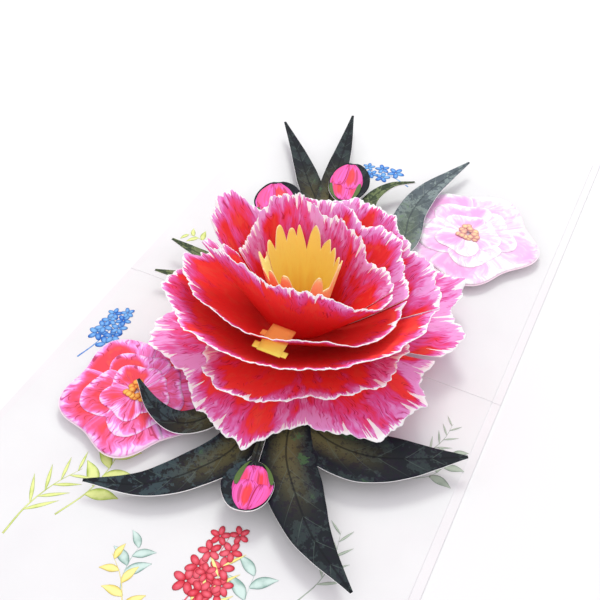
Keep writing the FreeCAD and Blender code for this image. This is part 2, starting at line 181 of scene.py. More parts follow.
class Graph:
    """Node tree of a material or a group, with short ways to add nodes and join them."""

    def __init__(self, tree: bpy.types.NodeTree) -> None:
        """Keeps the tree that the nodes go into."""
        self.tree = tree

    def node(self, kind: str, **settings: object) -> bpy.types.Node:
        """Adds a node.

        Args:
            kind: The node's type, without the leading ShaderNode.
            settings: Values for the node's own properties.

        Returns:
            The new node.
        """
        made = self.tree.nodes.new("ShaderNode" + kind)
        for name, value in settings.items():
            setattr(made, name, value)
        return made

    def feed(self, socket: bpy.types.NodeSocket, value: object) -> None:
        """Joins an output to a socket, or sets the socket to a plain value.

        Args:
            socket: The input that takes the value.
            value: Another node's output, or a number, vector or colour.
        """
        if isinstance(value, bpy.types.NodeSocket):
            self.tree.links.new(value, socket)
        else:
            socket.default_value = value

    def calc(self, operation: str, first: object, second: object = 0.0) -> bpy.types.NodeSocket:
        """Adds a Math node.

        Args:
            operation: The node's operation, such as ABSOLUTE.
            first: First value or output.
            second: Second value or output, where the operation takes one.

        Returns:
            The node's output.
        """
        made = self.node("Math", operation=operation)
        self.feed(made.inputs[0], first)
        self.feed(made.inputs[1], second)
        return made.outputs[0]

    def times(self, first: object, second: object) -> bpy.types.NodeSocket:
        """First value times the second."""
        return self.calc("MULTIPLY", first, second)

    def plus(self, first: object, second: object) -> bpy.types.NodeSocket:
        """Sum of two values."""
        return self.calc("ADD", first, second)

    def minus(self, first: object, second: object) -> bpy.types.NodeSocket:
        """First value less the second."""
        return self.calc("SUBTRACT", first, second)

    def over(self, first: object, second: object) -> bpy.types.NodeSocket:
        """First value divided by the second."""
        return self.calc("DIVIDE", first, second)

    def band(self, value: object, low: float, high: float, start: float = 0.0,
             end: float = 1.0) -> bpy.types.NodeSocket:
        """Carries a value smoothly from one range over to another.

        Args:
            value: The value or output.
            low: Start of the range that it comes from.
            high: End of that range.
            start: Result at low.
            end: Result at high.

        Returns:
            The carried value's output.
        """
        made = self.node("MapRange", interpolation_type="SMOOTHSTEP")
        self.feed(made.inputs["Value"], value)
        for name, number in (("From Min", low), ("From Max", high), ("To Min", start), ("To Max", end)):
            made.inputs[name].default_value = number
        return made.outputs["Result"]

    def blend(self, factor: object, first: object, second: object, way: str = "MIX") -> bpy.types.NodeSocket:
        """Mixes two colours.

        Args:
            factor: How much of the second colour, from 0 to 1.
            first: First colour or output.
            second: Second colour or output.
            way: The node's blend type.

        Returns:
            The mixed colour's output.
        """
        made = self.node("Mix", data_type="RGBA", blend_type=way)
        self.feed(made.inputs[0], factor)
        self.feed(made.inputs[6], first)
        self.feed(made.inputs[7], second)
        return made.outputs[2]

    def grain(self, place: object, scale: float, detail: float = 2.0,
              rough: float = 0.5) -> bpy.types.NodeSocket:
        """Adds noise.

        Args:
            place: Output with the place that the noise is taken at.
            scale: Waves to one unit of the place.
            detail: How many finer waves are added.
            rough: How strong those are.

        Returns:
            Output with a value from 0 to 1.
        """
        made = self.node("TexNoise")
        self.feed(made.inputs["Vector"], place)
        made.inputs["Scale"].default_value = scale
        made.inputs["Detail"].default_value = detail
        made.inputs["Roughness"].default_value = rough
        return made.outputs["Fac"]

    def ramp(self, value: object, stops: Sequence[tuple[float, Colour]]) -> bpy.types.NodeSocket:
        """Adds a colour ramp.

        Args:
            value: Output that runs along the ramp.
            stops: Each stop's place from 0 to 1 and its colour.

        Returns:
            The ramp's colour output.
        """
        made = self.node("ValToRGB")
        marks = made.color_ramp.elements
        while len(marks) < len(stops):
            marks.new(0.5)
        for mark, (place, colour) in zip(marks, stops):
            mark.position = place
            mark.color = colour
        self.feed(made.inputs[0], value)
        return made.outputs[0]

    def point(self, x: object, y: object, z: object = 0.0) -> bpy.types.NodeSocket:
        """Joins three values to a vector.

        Args:
            x: First value or output.
            y: Second value or output.
            z: Third value or output.

        Returns:
            The vector's output.
        """
        made = self.node("CombineXYZ")
        for socket, value in zip(made.inputs, (x, y, z)):
            self.feed(socket, value)
        return made.outputs[0]

    def mark(self) -> tuple[bpy.types.NodeSocket, ...]:
        """Reads the three numbers that a piece carries at each point for its print.

        Returns:
            An output for each of the three.
        """
        source = self.node("Attribute", attribute_name="mark")
        parts = self.node("SeparateXYZ")
        self.feed(parts.inputs[0], source.outputs["Vector"])
        return tuple(parts.outputs)

    def group(self, tree: bpy.types.NodeTree, **inputs: object) -> bpy.types.Node:
        """Places a shared group with input values of its own.

        Args:
            tree: The group.
            inputs: Value or output for each named input.

        Returns:
            The new group node.
        """
        made = self.node("Group")
        made.node_tree = tree
        for name, value in inputs.items():
            self.feed(made.inputs[name], value)
        return made


def new_group(name: str, inputs: dict[str, float],
              outputs: dict[str, str]) -> tuple[Graph, bpy.types.Node, bpy.types.Node]:
    """Starts a shader node group with named inputs and outputs.

    Args:
        name: The group's name.
        inputs: Input names with their default numbers.
        outputs: Output names with Float or Color.

    Returns:
        The group's graph, its input node and its output node.
    """
    tree = bpy.data.node_groups.new(name, "ShaderNodeTree")
    for label, value in inputs.items():
        socket = tree.interface.new_socket(name=label, in_out="INPUT", socket_type="NodeSocketFloat")
        socket.default_value = value
    for label, kind in outputs.items():
        tree.interface.new_socket(name=label, in_out="OUTPUT", socket_type="NodeSocket" + kind)
    graph = Graph(tree)
    return graph, tree.nodes.new("NodeGroupInput"), tree.nodes.new("NodeGroupOutput")


@functools.cache
def paper_group() -> bpy.types.NodeTree:
    """Fibres of card stock: a height for the bump and a faint shade, built once.

    Returns:
        The group's node tree.
    """
    graph, source, result = new_group(
        "card_fibre", {"Fineness": 900.0}, {"Height": "Float", "Shade": "Float"})
    place = graph.node("TexCoord").outputs["Object"]
    fibre = graph.node("TexNoise")
    graph.feed(fibre.inputs["Vector"], place)
    graph.feed(fibre.inputs["Scale"], source.outputs["Fineness"])
    fibre.inputs["Detail"].default_value = 4.0
    fibre.inputs["Roughness"].default_value = 0.65
    cloud = graph.grain(place, 45.0, 3.0)
    graph.feed(result.inputs["Height"], fibre.outputs["Fac"])
    graph.feed(result.inputs["Shade"], graph.band(cloud, 0.2, 0.8, 0.965, 1.0))
    return graph.tree


@functools.cache
def streak_group() -> bpy.types.NodeTree:
    """Brush streaks that run in from a petal's rim, built once.

    The inputs are in millimetres: how far round the rim, how far in from it, how wide a streak is,
    and how far the pale paint reaches in. Tone grows from the pale rim to the full red, Fine is
    the thin streaks, Broad the wide ones, Patch blotches, and Splash bare white paper at the rim.

    Returns:
        The group's node tree.
    """
    inputs = {"Round": 0.0, "Inward": 0.0, "Width": 1.0, "Depth": 10.0, "Splash": 3.0, "Seed": 0.0}
    outputs = dict.fromkeys(("Tone", "Fine", "Broad", "Patch", "Splash"), "Float")
    graph, source, result = new_group("brush_streaks", inputs, outputs)
    rim = source.outputs["Round"]
    inward = source.outputs["Inward"]
    seed = source.outputs["Seed"]
    turned = graph.over(rim, source.outputs["Width"])

    def paint(along: object, in_from_rim: object, shift: float = 0.0, detail: float = 2.0,
              rough: float = 0.5) -> bpy.types.NodeSocket:
        """Noise over the petal, with a shift of the seed so that no two look alike."""
        shifted = graph.plus(seed, shift) if shift else seed
        return graph.grain(graph.point(along, in_from_rim, shifted), 1.0, detail, rough)

    warp = paint(graph.times(rim, 0.1), graph.times(inward, 0.12))
    bent = graph.plus(turned, graph.times(graph.minus(warp, 0.5), 5.0))
    fine = paint(bent, graph.times(inward, 0.1))
    hair = paint(graph.times(bent, 2.8), graph.times(inward, 0.2), detail=1.0)
    broad = paint(graph.times(turned, 0.16), graph.times(inward, 0.05))
    patch = paint(graph.times(rim, 0.16), graph.times(inward, 0.16), 9.0, 3.0)
    depth = graph.times(source.outputs["Depth"], graph.band(broad, 0.32, 0.68, 0.25, 1.9))
    tone = graph.over(inward, depth)
    for part, weight in ((fine, 1.5), (hair, 0.9), (patch, 1.8)):
        tone = graph.plus(tone, graph.times(graph.minus(part, 0.5), weight))
    brush = paint(graph.times(turned, 0.7), graph.times(inward, 0.02), 4.0, 3.0, 0.6)
    spread = paint(graph.times(rim, 0.12), 0.0, 6.0, 1.0)
    strength = graph.times(graph.band(brush, 0.42, 0.72), graph.band(spread, 0.36, 0.6))
    bare = graph.minus(inward, graph.times(strength, source.outputs["Splash"]))
    graph.feed(result.inputs["Tone"], tone)
    graph.feed(result.inputs["Fine"], hair)
    graph.feed(result.inputs["Broad"], broad)
    graph.feed(result.inputs["Patch"], patch)
    graph.feed(result.inputs["Splash"], graph.band(bare, -0.05, 0.12, 1.0, 0.0))
    return graph.tree


@functools.cache
def patch_group() -> bpy.types.NodeTree:
    """Patches of print with broken edges, such as a painted leaf's lights and darks, built once.

    Returns:
        The group's node tree.
    """
    graph, source, result = new_group(
        "ink_patches", {"Along": 0.0, "Across": 0.0, "Size": 6.0, "Seed": 0.0},
        {"Patch": "Float", "Speck": "Float", "Fleck": "Float"})
    place = graph.point(graph.over(source.outputs["Along"], source.outputs["Size"]),
                        graph.over(source.outputs["Across"], source.outputs["Size"]),
                        source.outputs["Seed"])
    large = graph.grain(place, 1.0, 4.0, 0.7)
    small = graph.grain(place, 4.5, 3.0, 0.7)
    graph.feed(result.inputs["Patch"], graph.band(large, 0.49, 0.53))
    graph.feed(result.inputs["Speck"], graph.band(small, 0.53, 0.58))
    graph.feed(result.inputs["Fleck"], graph.band(large, 0.6, 0.64))
    return graph.tree


@dataclass(frozen=True)
class Finish:
    """What every printed or plain card finish shares."""

    name: str
    roughness: float = 0.6
    fineness: float = 900.0
    bump: float = 0.25
    shine: float = 0.3
    clouds: float = 1.0

    def colour(self, graph: Graph) -> bpy.types.NodeSocket | Colour:
        """Colour of the surface, which each finish gives in its own way.

        Args:
            graph: The material's graph, which the colour's nodes go into.

        Returns:
            The colour's output, or a plain colour.
        """
        raise NotImplementedError

    def build(self) -> bpy.types.Material:
        """Makes the material, or gives it back if it is made already.

        Returns:
            The material.
        """
        found = bpy.data.materials.get(self.name)
        if found:
            return found
        material = bpy.data.materials.new(self.name)
        material.use_nodes = True
        graph = Graph(material.node_tree)
        shader = material.node_tree.nodes["Principled BSDF"]
        shader.inputs["Roughness"].default_value = self.roughness
        shader.inputs["Specular IOR Level"].default_value = self.shine
        fibre = graph.group(paper_group(), Fineness=self.fineness)
        bump = graph.node("Bump")
        bump.inputs["Strength"].default_value = self.bump
        bump.inputs["Distance"].default_value = 0.05 * MM
        graph.feed(bump.inputs["Height"], fibre.outputs["Height"])
        graph.feed(shader.inputs["Normal"], bump.outputs["Normal"])
        shade = graph.node("CombineColor")
        for socket in shade.inputs:
            graph.feed(socket, fibre.outputs["Shade"])
        tinted = graph.blend(self.clouds, self.colour(graph), shade.outputs[0], "MULTIPLY")
        graph.feed(shader.inputs["Base Color"], tinted)
        return material


@dataclass(frozen=True)
class PlainCard(Finish):
    """Unprinted card, with its faint fibres."""

    tint: str = "F4F2F3"

    def colour(self, graph: Graph) -> bpy.types.NodeSocket | Colour:
        """One tint, a shade darker in its clouds.

        Args:
            graph: The material's graph.

        Returns:
            The colour's output.
        """
        place = graph.node("TexCoord").outputs["Object"]
        cloud = graph.grain(place, 30.0, 2.0)
        red, green, blue, alpha = ink(self.tint)
        clouded = (red * 0.985, green * 0.975, blue * 0.985, alpha)
        share = graph.band(cloud, 0.35, 0.7, 0.0, self.clouds)
        return graph.blend(share, (red, green, blue, alpha), clouded)


@dataclass(frozen=True)
class PetalPrint(Finish):
    """Painted petal: white splashes at the rim, then lilac and pink, and a bright red body that darkens
    towards the hub with painted shade.
    """

    rim: str = "F0A6E2"
    lilac: str = "EC84CC"
    violet: str = "E864B0"
    pink: str = "EE4E8C"
    warm: str = "F2405C"
    red: str = "F03434"
    glow: str = "F4624C"
    # Painted shade: the darker red that the body turns to near the hub.
    hub_shade: str = "DE2C2E"
    line: str = "A4123A"
    streak: float = 1.5
    depth: float = 5.0
    splash: float = 4.0
    fall: float = 36.0
    joint_pale: float = 0.3
    seed: float = 0.0

    def colour(self, graph: Graph) -> bpy.types.NodeSocket | Colour:
        """Ramp over how far a point lies inside the rim, broken up by brush streaks.

        Args:
            graph: The material's graph.

        Returns:
            The colour's output.
        """
        round_rim, inward, joint = graph.mark()
        streaks = graph.group(streak_group(), Round=round_rim, Inward=inward, Width=self.streak,
                              Depth=self.depth, Splash=self.splash, Seed=self.seed)
        pale = graph.band(joint, 0.4, 1.0, 0.0, self.joint_pale)
        tone = graph.minus(streaks.outputs["Tone"], pale)
        painted = graph.ramp(graph.times(tone, 0.4), (
            (0.0, ink(self.rim)), (0.08, ink(self.lilac)), (0.18, ink(self.violet)), (0.32, ink(self.pink)),
            (0.5, ink(self.warm)), (0.68, ink(self.red))))
        patch = graph.band(streaks.outputs["Patch"], 0.5, 0.62)
        glow = graph.times(patch, graph.band(tone, 1.2, 2.0, 0.0, 0.4))
        painted = graph.blend(glow, painted, ink(self.glow))
        hair_depth = graph.times(graph.band(tone, 0.0, 0.5, 0.2, 0.6), graph.band(tone, 1.4, 2.6, 1.0, 0.2))
        hairs = graph.times(graph.band(streaks.outputs["Fine"], 0.6, 0.68), hair_depth)
        lined = graph.blend(hairs, painted, ink(self.line))
        # Painted shade: the red darkens over the last part of the wall and the hub, where the petals sink
        # into the flower.
        hub_shade_share = graph.times(graph.band(inward, self.fall * 0.55, self.fall),
                          graph.band(streaks.outputs["Broad"], 0.35, 0.65, 0.75, 0.25))
        body = graph.blend(hub_shade_share, lined, ink(self.hub_shade))
        return graph.blend(streaks.outputs["Splash"], body, ink("FFFFFF"))


@dataclass(frozen=True)
class LeafPrint(Finish):
    """Painted leaf: dark blade with lighter patches, an olive middle and thin pale veins."""

    dark: str = "1E2227"
    shade: str = "211A2B"
    light: str = "30393B"
    olive: str = "6A6442"
    green: str = "4C7048"
    vein: str = "64746C"
    rib: str = "16181C"
    seed: float = 0.0

    def colour(self, graph: Graph) -> bpy.types.NodeSocket | Colour:
        """Patches of green over the dark blade, with the midrib and veins drawn on.

        Args:
            graph: The material's graph.

        Returns:
            The colour's output.
        """
        along, across, share = graph.mark()
        patches = graph.group(patch_group(), Along=along, Across=across, Size=8.0, Seed=self.seed)
        ground = graph.blend(patches.outputs["Patch"], ink(self.dark), ink(self.light))
        ground = graph.blend(graph.times(patches.outputs["Speck"], 0.6), ground, ink(self.shade))
        side = graph.calc("ABSOLUTE", across)
        root = graph.times(graph.band(share, 0.25, 0.7, 1.0, 0.0), graph.band(side, 1.0, 7.0, 1.0, 0.0))
        specked = graph.band(patches.outputs["Speck"], 0.0, 1.0, 0.9, 0.45)
        ground = graph.blend(graph.times(root, specked), ground, ink(self.olive))
        fresh = graph.times(graph.band(share, 0.3, 0.75, 1.0, 0.0), patches.outputs["Fleck"])
        ground = graph.blend(graph.times(fresh, 0.75), ground, ink(self.green))
        slant = graph.over(graph.minus(along, graph.times(side, 1.5)), 8.5)
        line = graph.calc("ABSOLUTE", graph.minus(graph.calc("FRACT", slant), 0.5))
        veins = graph.times(graph.band(line, 0.0, 0.03, 1.0, 0.0), graph.band(side, 0.3, 7.0, 0.5, 0.1))
        ground = graph.blend(veins, ground, ink(self.vein))
        rib = graph.band(side, 0.15, 0.45, 1.0, 0.0)
        return graph.blend(graph.times(rib, 0.7), ground, ink(self.rib))


@dataclass(frozen=True)
class StamenPrint(Finish):
    """Gold card of the stamens, paler along the cut tips and warmer towards the foot."""

    tip: str = "FFE48A"
    gold: str = "F8D66E"
    foot: str = "F4C05C"

    def colour(self, graph: Graph) -> bpy.types.NodeSocket | Colour:
        """Ramp over the distance from the cut tips, with faint streaks down the wall.

        Args:
            graph: The material's graph.

        Returns:
            The colour's output.
        """
        round_wall, inward, _ = graph.mark()
        streaks = graph.group(streak_group(), Round=round_wall, Inward=inward, Width=2.0, Seed=3.0)
        base = graph.ramp(graph.times(inward, 1 / 28), (
            (0.0, ink(self.gold)), (0.45, ink(self.gold)), (1.0, ink(self.foot))))
        base = graph.blend(graph.times(graph.band(streaks.outputs["Fine"], 0.5, 0.7), 0.25),
                           base, ink(self.foot))
        return graph.blend(graph.band(inward, 0.3, 0.75, 1.0, 0.0), base, ink(self.tip))


@dataclass(frozen=True)
class StrapPrint(Finish):
    """Gold strap, orange where it lies inside the flower, as painted shade, and yellow outside it."""

    inner: str = "F49E50"
    outer: str = "FAEC66"
    turn: float = 31.6

    def colour(self, graph: Graph) -> bpy.types.NodeSocket | Colour:
        """Changes along the strap, at a distance from the spine, from the painted shade inside the flower to
        yellow outside it.

        Args:
            graph: The material's graph.

        Returns:
            The colour's output.
        """
        place = graph.node("TexCoord").outputs["Object"]
        parts = graph.node("SeparateXYZ")
        graph.feed(parts.inputs[0], place)
        reach = graph.calc("ABSOLUTE", parts.outputs["Y"])
        cloud = graph.grain(place, 400.0, 2.0)
        spread = graph.plus(reach, graph.times(cloud, 0.4 * MM))
        # Painted shade: orange within the turn, where the strap lies inside the flower.
        return graph.ramp(graph.band(spread, (self.turn - 0.5) * MM, (self.turn + 0.8) * MM),
                          ((0.0, ink(self.inner)), (1.0, ink(self.outer))))


@dataclass(frozen=True)
class WashPrint(Finish):
    """Watercolour shape: light in the middle, with pigment gathered at its rim."""

    light: str = "F0A8C0"
    full: str = "D84F7A"
    line: str = "A02848"
    rim: float = 0.82

    def colour(self, graph: Graph) -> bpy.types.NodeSocket | Colour:
        """Mixes by how near the rim a point is, with soft pools of colour.

        Args:
            graph: The material's graph.

        Returns:
            The colour's output.
        """
        out = graph.mark()[0]
        place = graph.node("TexCoord").outputs["Object"]
        pool = graph.grain(place, 260.0, 3.0)
        wash = graph.plus(graph.times(out, 0.6), graph.times(graph.minus(pool, 0.45), 1.6))
        body = graph.blend(graph.band(wash, 0.0, 0.9), ink(self.light), ink(self.full))
        return graph.blend(graph.times(graph.band(out, self.rim, 1.0), 0.8), body, ink(self.line))


EDGE = PlainCard("cut_card_edge", tint="FBFAFA")


def drape(bm: bmesh.types.BMesh, columns: int, rows: int, shape: Shape, upward: bool = True) -> None:
    """Adds a grid to a mesh and moves each point of it to its place on a surface.

    Args:
        bm: The mesh, with a layer named mark for the print's numbers.
        columns: Faces along u.
        rows: Faces along v.
        shape: Gives the place in millimetres and the mark for u and v from 0 to 1.
        upward: Whether the printed side faces up rather than down.
    """
    layer = bm.verts.layers.float_vector["mark"]
    made = bmesh.ops.create_grid(bm, x_segments=columns, y_segments=rows, size=0.5)["verts"]
    for vert in made:
        place, mark = shape(vert.co.x + 0.5, vert.co.y + 0.5)
        vert.co = place * MM
        vert[layer] = mark
    faces = list({face for vert in made for face in vert.link_faces})
    for face in faces:
        face.normal_update()
    rise = sum(face.normal.z * face.calc_area() for face in faces)
    if (rise > 0) != upward:
        bmesh.ops.reverse_faces(bm, faces=faces)


def new_sheet() -> bmesh.types.BMesh:
    """Empty mesh with the layer that carries the print's numbers.

    Returns:
        The mesh.
    """
    bm = bmesh.new()
    bm.verts.layers.float_vector.new("mark")
    return bm


def finish_piece(name: str, bm: bmesh.types.BMesh, materials: Sequence[bpy.types.Material],
                 thickness: float, stands_for: Sequence[str] = ()) -> bpy.types.Object:
    """Turns a mesh into a finished piece of card that rides with the card.

    Args:
        name: The piece's name.
        bm: Its mesh, in metres; it is freed.
        materials: The faces' finishes, with that of the cut edge last.
        thickness: The card's thickness in millimetres, given below the mesh.
        stands_for: CAD nodes that the piece takes the place of.

    Returns:
        The new object.
    """
    mesh = bpy.data.meshes.new(name)
    bm.to_mesh(mesh)
    bm.free()
    mesh.shade_smooth()
    for material in materials:
        mesh.materials.append(material)
    piece = bpy.data.objects.new(name, mesh)
    bpy.context.scene.collection.objects.link(piece)
    wall = piece.modifiers.new("thickness", "SOLIDIFY")
    wall.thickness = thickness * MM
    wall.offset = -1.0
    wall.material_offset_rim = len(materials) - 1
    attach(piece, BODY)
    if stands_for:
        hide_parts(*stands_for)
    return piece


@dataclass
class PetalLayer:
    """One printed layer of petals, made as two halves that meet over the spine.

    The end values hold over the spine and the mid values over the middle of a page. The outline
    says how many millimetres the cut rim comes past the plain one at each angle, and the joints
    are the angles where two petals meet. The tuck draws the layer in (share, angle, spread), the
    lift raises it (share, angle), and the lean bends it out (angle, spread, outward, drop).
    """

    number: int
    hub: float
    end_radius: float
    mid_radius: float
    end_height: float
    mid_height: float
    power: float
    tuck: tuple[float, float, float]
    outline: Outline
    joints: tuple[float, ...]
    near_depth: float
    far_depth: float
    joint_pale: float
    lift: tuple[float, float] = (0.0, 150.0)
    lean: tuple[float, float, float, float] = (0.0, 1.0, 0.0, 0.0)
    splash: float = 3.6
    frill: float = 1.5
    wave: float = 1.2
    lift_spread: float = 40.0
    joint_spread: float = 26.0
    lobes: int = 6
    lobe_depth: float = 0.6
    overshoot: float = 1.02
    hub_share: float = 0.12
    hub_cover: float = 0.9
    columns: int = 320
    rows: int = 18

    def over_spine(self, angle: float) -> float:
        """1 over the spine, 0 over the middle of a page."""
        return (1 + math.cos(math.radians(2 * angle))) / 2

    def joint(self, angle: float) -> float:
        """How near an angle is to the joint of two petals, from 0 to 1."""
        return max(1 - apart(angle, joint) / self.joint_spread for joint in self.joints)

    def wall(self) -> float:
        """Length of the layer's wall over the spine."""
        return math.hypot(self.end_radius - self.hub, self.end_height)

    def reach(self, angle: float) -> float:
        """Works out how far up the wall the cut rim comes.

        Args:
            angle: Degrees round the flower.

        Returns:
            Share of the wall, 1 being the plain rim.
        """
        seed = self.number * 3.7
        frill = self.frill * (0.9 * ripple(angle / 6.0, seed) + 0.8 * ripple(angle / 2.4, seed + 1)
                              - 0.7 * abs(ripple(angle / 1.6, seed + 2)))
        return self.overshoot + (along_outline(self.outline, angle) + frill) / self.wall()

    def place(self, angle: float, share: float) -> Vector:
        """Works out a point of the layer.

        Args:
            angle: Degrees round the flower.
            share: 0 on the edge of the flat hub, 1 on the plain rim, negative within the hub.

        Returns:
            The point in millimetres.
        """
        over = self.over_spine(angle)
        floor = DECK_TOP + self.number * PAPER
        if share < 0:
            return around(self.hub * (1 + share), angle, floor)
        drawn_in = 1 - self.tuck[0] * hump(angle, self.tuck[1], self.tuck[2])
        raised = 1 + self.lift[0] * hump(angle, self.lift[1], self.lift_spread)
        rim = mix(self.mid_radius, self.end_radius, over)
        rim = (rim + self.lobe_depth * math.cos(math.radians(self.lobes * (angle + 90)))) * drawn_in
        leaning = hump(angle, self.lean[0], self.lean[1])
        rim += self.lean[2] * leaning
        rise = mix(self.mid_height, self.end_height, over) * drawn_in * raised - self.lean[3] * leaning
        seed = self.number * 11.3
        sway = self.wave * max(share, 0.0) ** 3
        rim += sway * ripple(angle / 11.0, seed)
        swell = sway * (ripple(angle / 6.0, seed + 2) + 0.35 * ripple(angle / 2.2, seed + 3))
        height = floor + rise * share ** self.power + swell
        return around(self.hub + (rim - self.hub) * share, angle, height)

    def print_for(self, side: Side) -> PetalPrint:
        """Chooses the print of the half over one page.

        Args:
            side: Which page.

        Returns:
            The finish; the near one has lighter reds, as it stands in its own shade.
        """
        near = side is Side.NEAR
        reds = {"red": "FC4440", "hub_shade": "FC403A"} if near else {}
        return PetalPrint(
            f"petal_print_{self.number}_{side.label}", depth=self.near_depth if near else self.far_depth,
            fall=self.wall(), joint_pale=self.joint_pale, splash=self.splash, seed=self.number * 5.0,
            shine=0.15, **reds)

    def build(self, side: Side) -> bpy.types.Object:
        """Makes the half over one page.

        Args:
            side: Which page.

        Returns:
            The half's object, which takes the place of its CAD node.
        """
        start = HALF_GAP if side is Side.FAR else HALF_GAP - 180
        sweep = 180 - 2 * HALF_GAP

        def shape(u: float, v: float) -> tuple[Vector, Vector]:
            """Hub first, then the wall up to its cut rim.

            Args:
                u: How far round the half, from 0 to 1.
                v: How far out and up, from 0 to 1.

            Returns:
                The point in millimetres and its mark.
            """
            angle = start + sweep * u
            reach = self.reach(angle)
            if v < self.hub_share:
                share = (v / self.hub_share - 1) * self.hub_cover
            else:
                share = reach * (v - self.hub_share) / (1 - self.hub_share)
            inward = (reach - max(share, 0)) * self.wall()
            mark = Vector((math.radians(angle) * self.end_radius, inward, self.joint(angle)))
            return self.place(angle, share), mark

        bm = new_sheet()
        drape(bm, self.columns, self.rows, shape)
        name = f"petals_{self.number}_{side.label}"
        materials = (self.print_for(side).build(), EDGE.build())
        piece = finish_piece(name, bm, materials, PETAL_CARD, (f"petal_layer_{self.number}_{side.label}",))
        LOG.info("%s", name)
        return piece


@dataclass
class Stamens:
    """Ring of gold card in the middle of the flower, its top cut into drips and spikes."""

    base_radius: float = 7.5
    top_radius: float = 13.5
    height: float = 28.0
    foot_radius: float = 3.5
    spikes: Outline = (
        (-154, 30), (-128, 28), (-105, 32), (-84, 32.5), (-41, 31), (-2, 31.5), (18, 28), (38, 25),
        (57, 26), (72, 27.5), (95, 30.5), (119, 30), (131, 29), (149, 31.5), (171, 28))
    valleys: Outline = (
        (-170, 24), (-117, 23.5), (-60, 22.5), (-20, 22), (10, 20), (48, 17), (85, 21), (106, 20),
        (124, 16), (140, 21))
    spike_half: float = 12.5
    roundness: float = 0.6
    foot_share: float = 0.1
    columns: int = 260
    rows: int = 16

    def tip(self, angle: float) -> float:
        """Works out the cut top.

        Args:
            angle: Degrees round the flower.

        Returns:
            Height of the top above the foot in millimetres.
        """
        valley = along_outline(self.valleys, angle)
        top = valley
        for centre, height in self.spikes:
            away = apart(angle + 3.0 * ripple(angle / 9.0, 8.0), centre) / self.spike_half
            if away < 1:
                top = max(top, mix(valley, height, ease(1 - away) ** self.roundness))
        return top + 0.5 * ripple(angle / 5.0, 9.0)

    def build(self, side: Side) -> bpy.types.Object:
        """Makes the half of the ring over one page.

        Args:
            side: Which page.

        Returns:
            The half's object, which takes the place of its CAD node.
        """
        floor = DECK_TOP + 5 * PAPER
        start = HALF_GAP if side is Side.FAR else HALF_GAP - 180
        sweep = 180 - 2 * HALF_GAP

        def shape(u: float, v: float) -> tuple[Vector, Vector]:
            """Flat foot first, then the wall up to its cut top.

            Args:
                u: How far round the half, from 0 to 1.
                v: How far out and up, from 0 to 1.

            Returns:
                The point in millimetres and its mark.
            """
            angle = start + sweep * u
            top = self.tip(angle)
            if v < self.foot_share:
                radius = mix(self.foot_radius, self.base_radius, v / self.foot_share)
                return around(radius, angle, floor + PAPER), Vector((0, top, 0))
            rise = top * (v - self.foot_share) / (1 - self.foot_share)
            radius = self.base_radius + (self.top_radius - self.base_radius) * rise / self.height
            mark = Vector((math.radians(angle) * self.top_radius, top - rise, 0))
            return around(radius, angle, floor + PAPER + rise), mark

        bm = new_sheet()
        drape(bm, self.columns, self.rows, shape)
        name = f"stamen_ring_{side.label}"
        # Painted light: the near half's gold is painted paler to offset the shade that it stands in.
        shade_offset_golds = {"gold": "FFF2A0", "foot": "FFE488"} if side is Side.NEAR else {}
        printed = StamenPrint(f"stamen_print_{side.label}", shine=0.1, **shade_offset_golds).build()
        edge = PlainCard("stamen_edge", tint="FFF0B8").build()
        piece = finish_piece(name, bm, (printed, edge), PAPER, (f"stamens_{side.label}",))
        LOG.info("%s", name)
        return piece


@dataclass
class Strap:
    """Gold strap that locks the fourth petals: a flat tongue inside them and a T outside them.

    The stations are distances from the spine with their heights over the deck. The ears are the
    stretches that are wider, each with its start, its end and the side that it stands out to.
    """

    middle: float = 6.5
    half: float = 4.1
    ear: float = 1.8
    stations: Outline = ((25.0, 23.0), (31.6, 23.2), (36.4, 22.6))
    ears: tuple[tuple[float, float, int], ...] = ((28.6, 30.8, -1), (33.6, 36.0, -1), (34.0, 36.0, 1))
    far_drop: float = 2.5

    def height(self, distance: float) -> float:
        """Works out how high the strap lies.

        Args:
            distance: Millimetres from the spine.

        Returns:
            Height in millimetres over the table.
        """
        for (near, low), (far, high) in zip(self.stations, self.stations[1:]):
            if distance <= far:
                return DECK_TOP + mix(low, high, (distance - near) / (far - near))
        return DECK_TOP + self.stations[-1][1]

    def band(self, bm: bmesh.types.BMesh, side: Side, span: tuple[float, float],
             width: tuple[float, float]) -> None:
        """Adds a straight stretch of the strap to a mesh.

        Args:
            bm: The mesh.
            side: Which page it is over.
            span: Its start and end as distances from the spine.
            width: Its two edges as places along the spine.
        """
        def shape(u: float, v: float) -> tuple[Vector, Vector]:
            """Flat stretch between its two edges."""
            distance = mix(span[0], span[1], u)
            height = self.height(distance) - (self.far_drop if side is Side.FAR else 0.0)
            return Vector((mix(width[0], width[1], v), side.value * distance, height)), Vector()

        drape(bm, 4, 4, shape)

    def build(self, side: Side) -> bpy.types.Object:
        """Makes the strap over one page.

        Args:
            side: Which page.

        Returns:
            The strap's object, which takes the place of its CAD node.
        """
        bm = new_sheet()
        middle = -side.value * self.middle
        for start, end in zip(self.stations, self.stations[1:]):
            self.band(bm, side, (start[0], end[0]), (middle - self.half, middle + self.half))
        for start, end, way in self.ears:
            edge = middle + way * self.half
            self.band(bm, side, (start, end), (edge, edge + way * self.ear))
        bmesh.ops.remove_doubles(bm, verts=bm.verts, dist=0.01 * MM)
        printed = StrapPrint("strap_print", roughness=0.45, shine=0.1).build()
        name = f"strap_{side.label}"
        piece = finish_piece(name, bm, (printed, printed), PAPER, (f"lock_strap_{side.label}",))
        LOG.info("%s", name)
        return piece


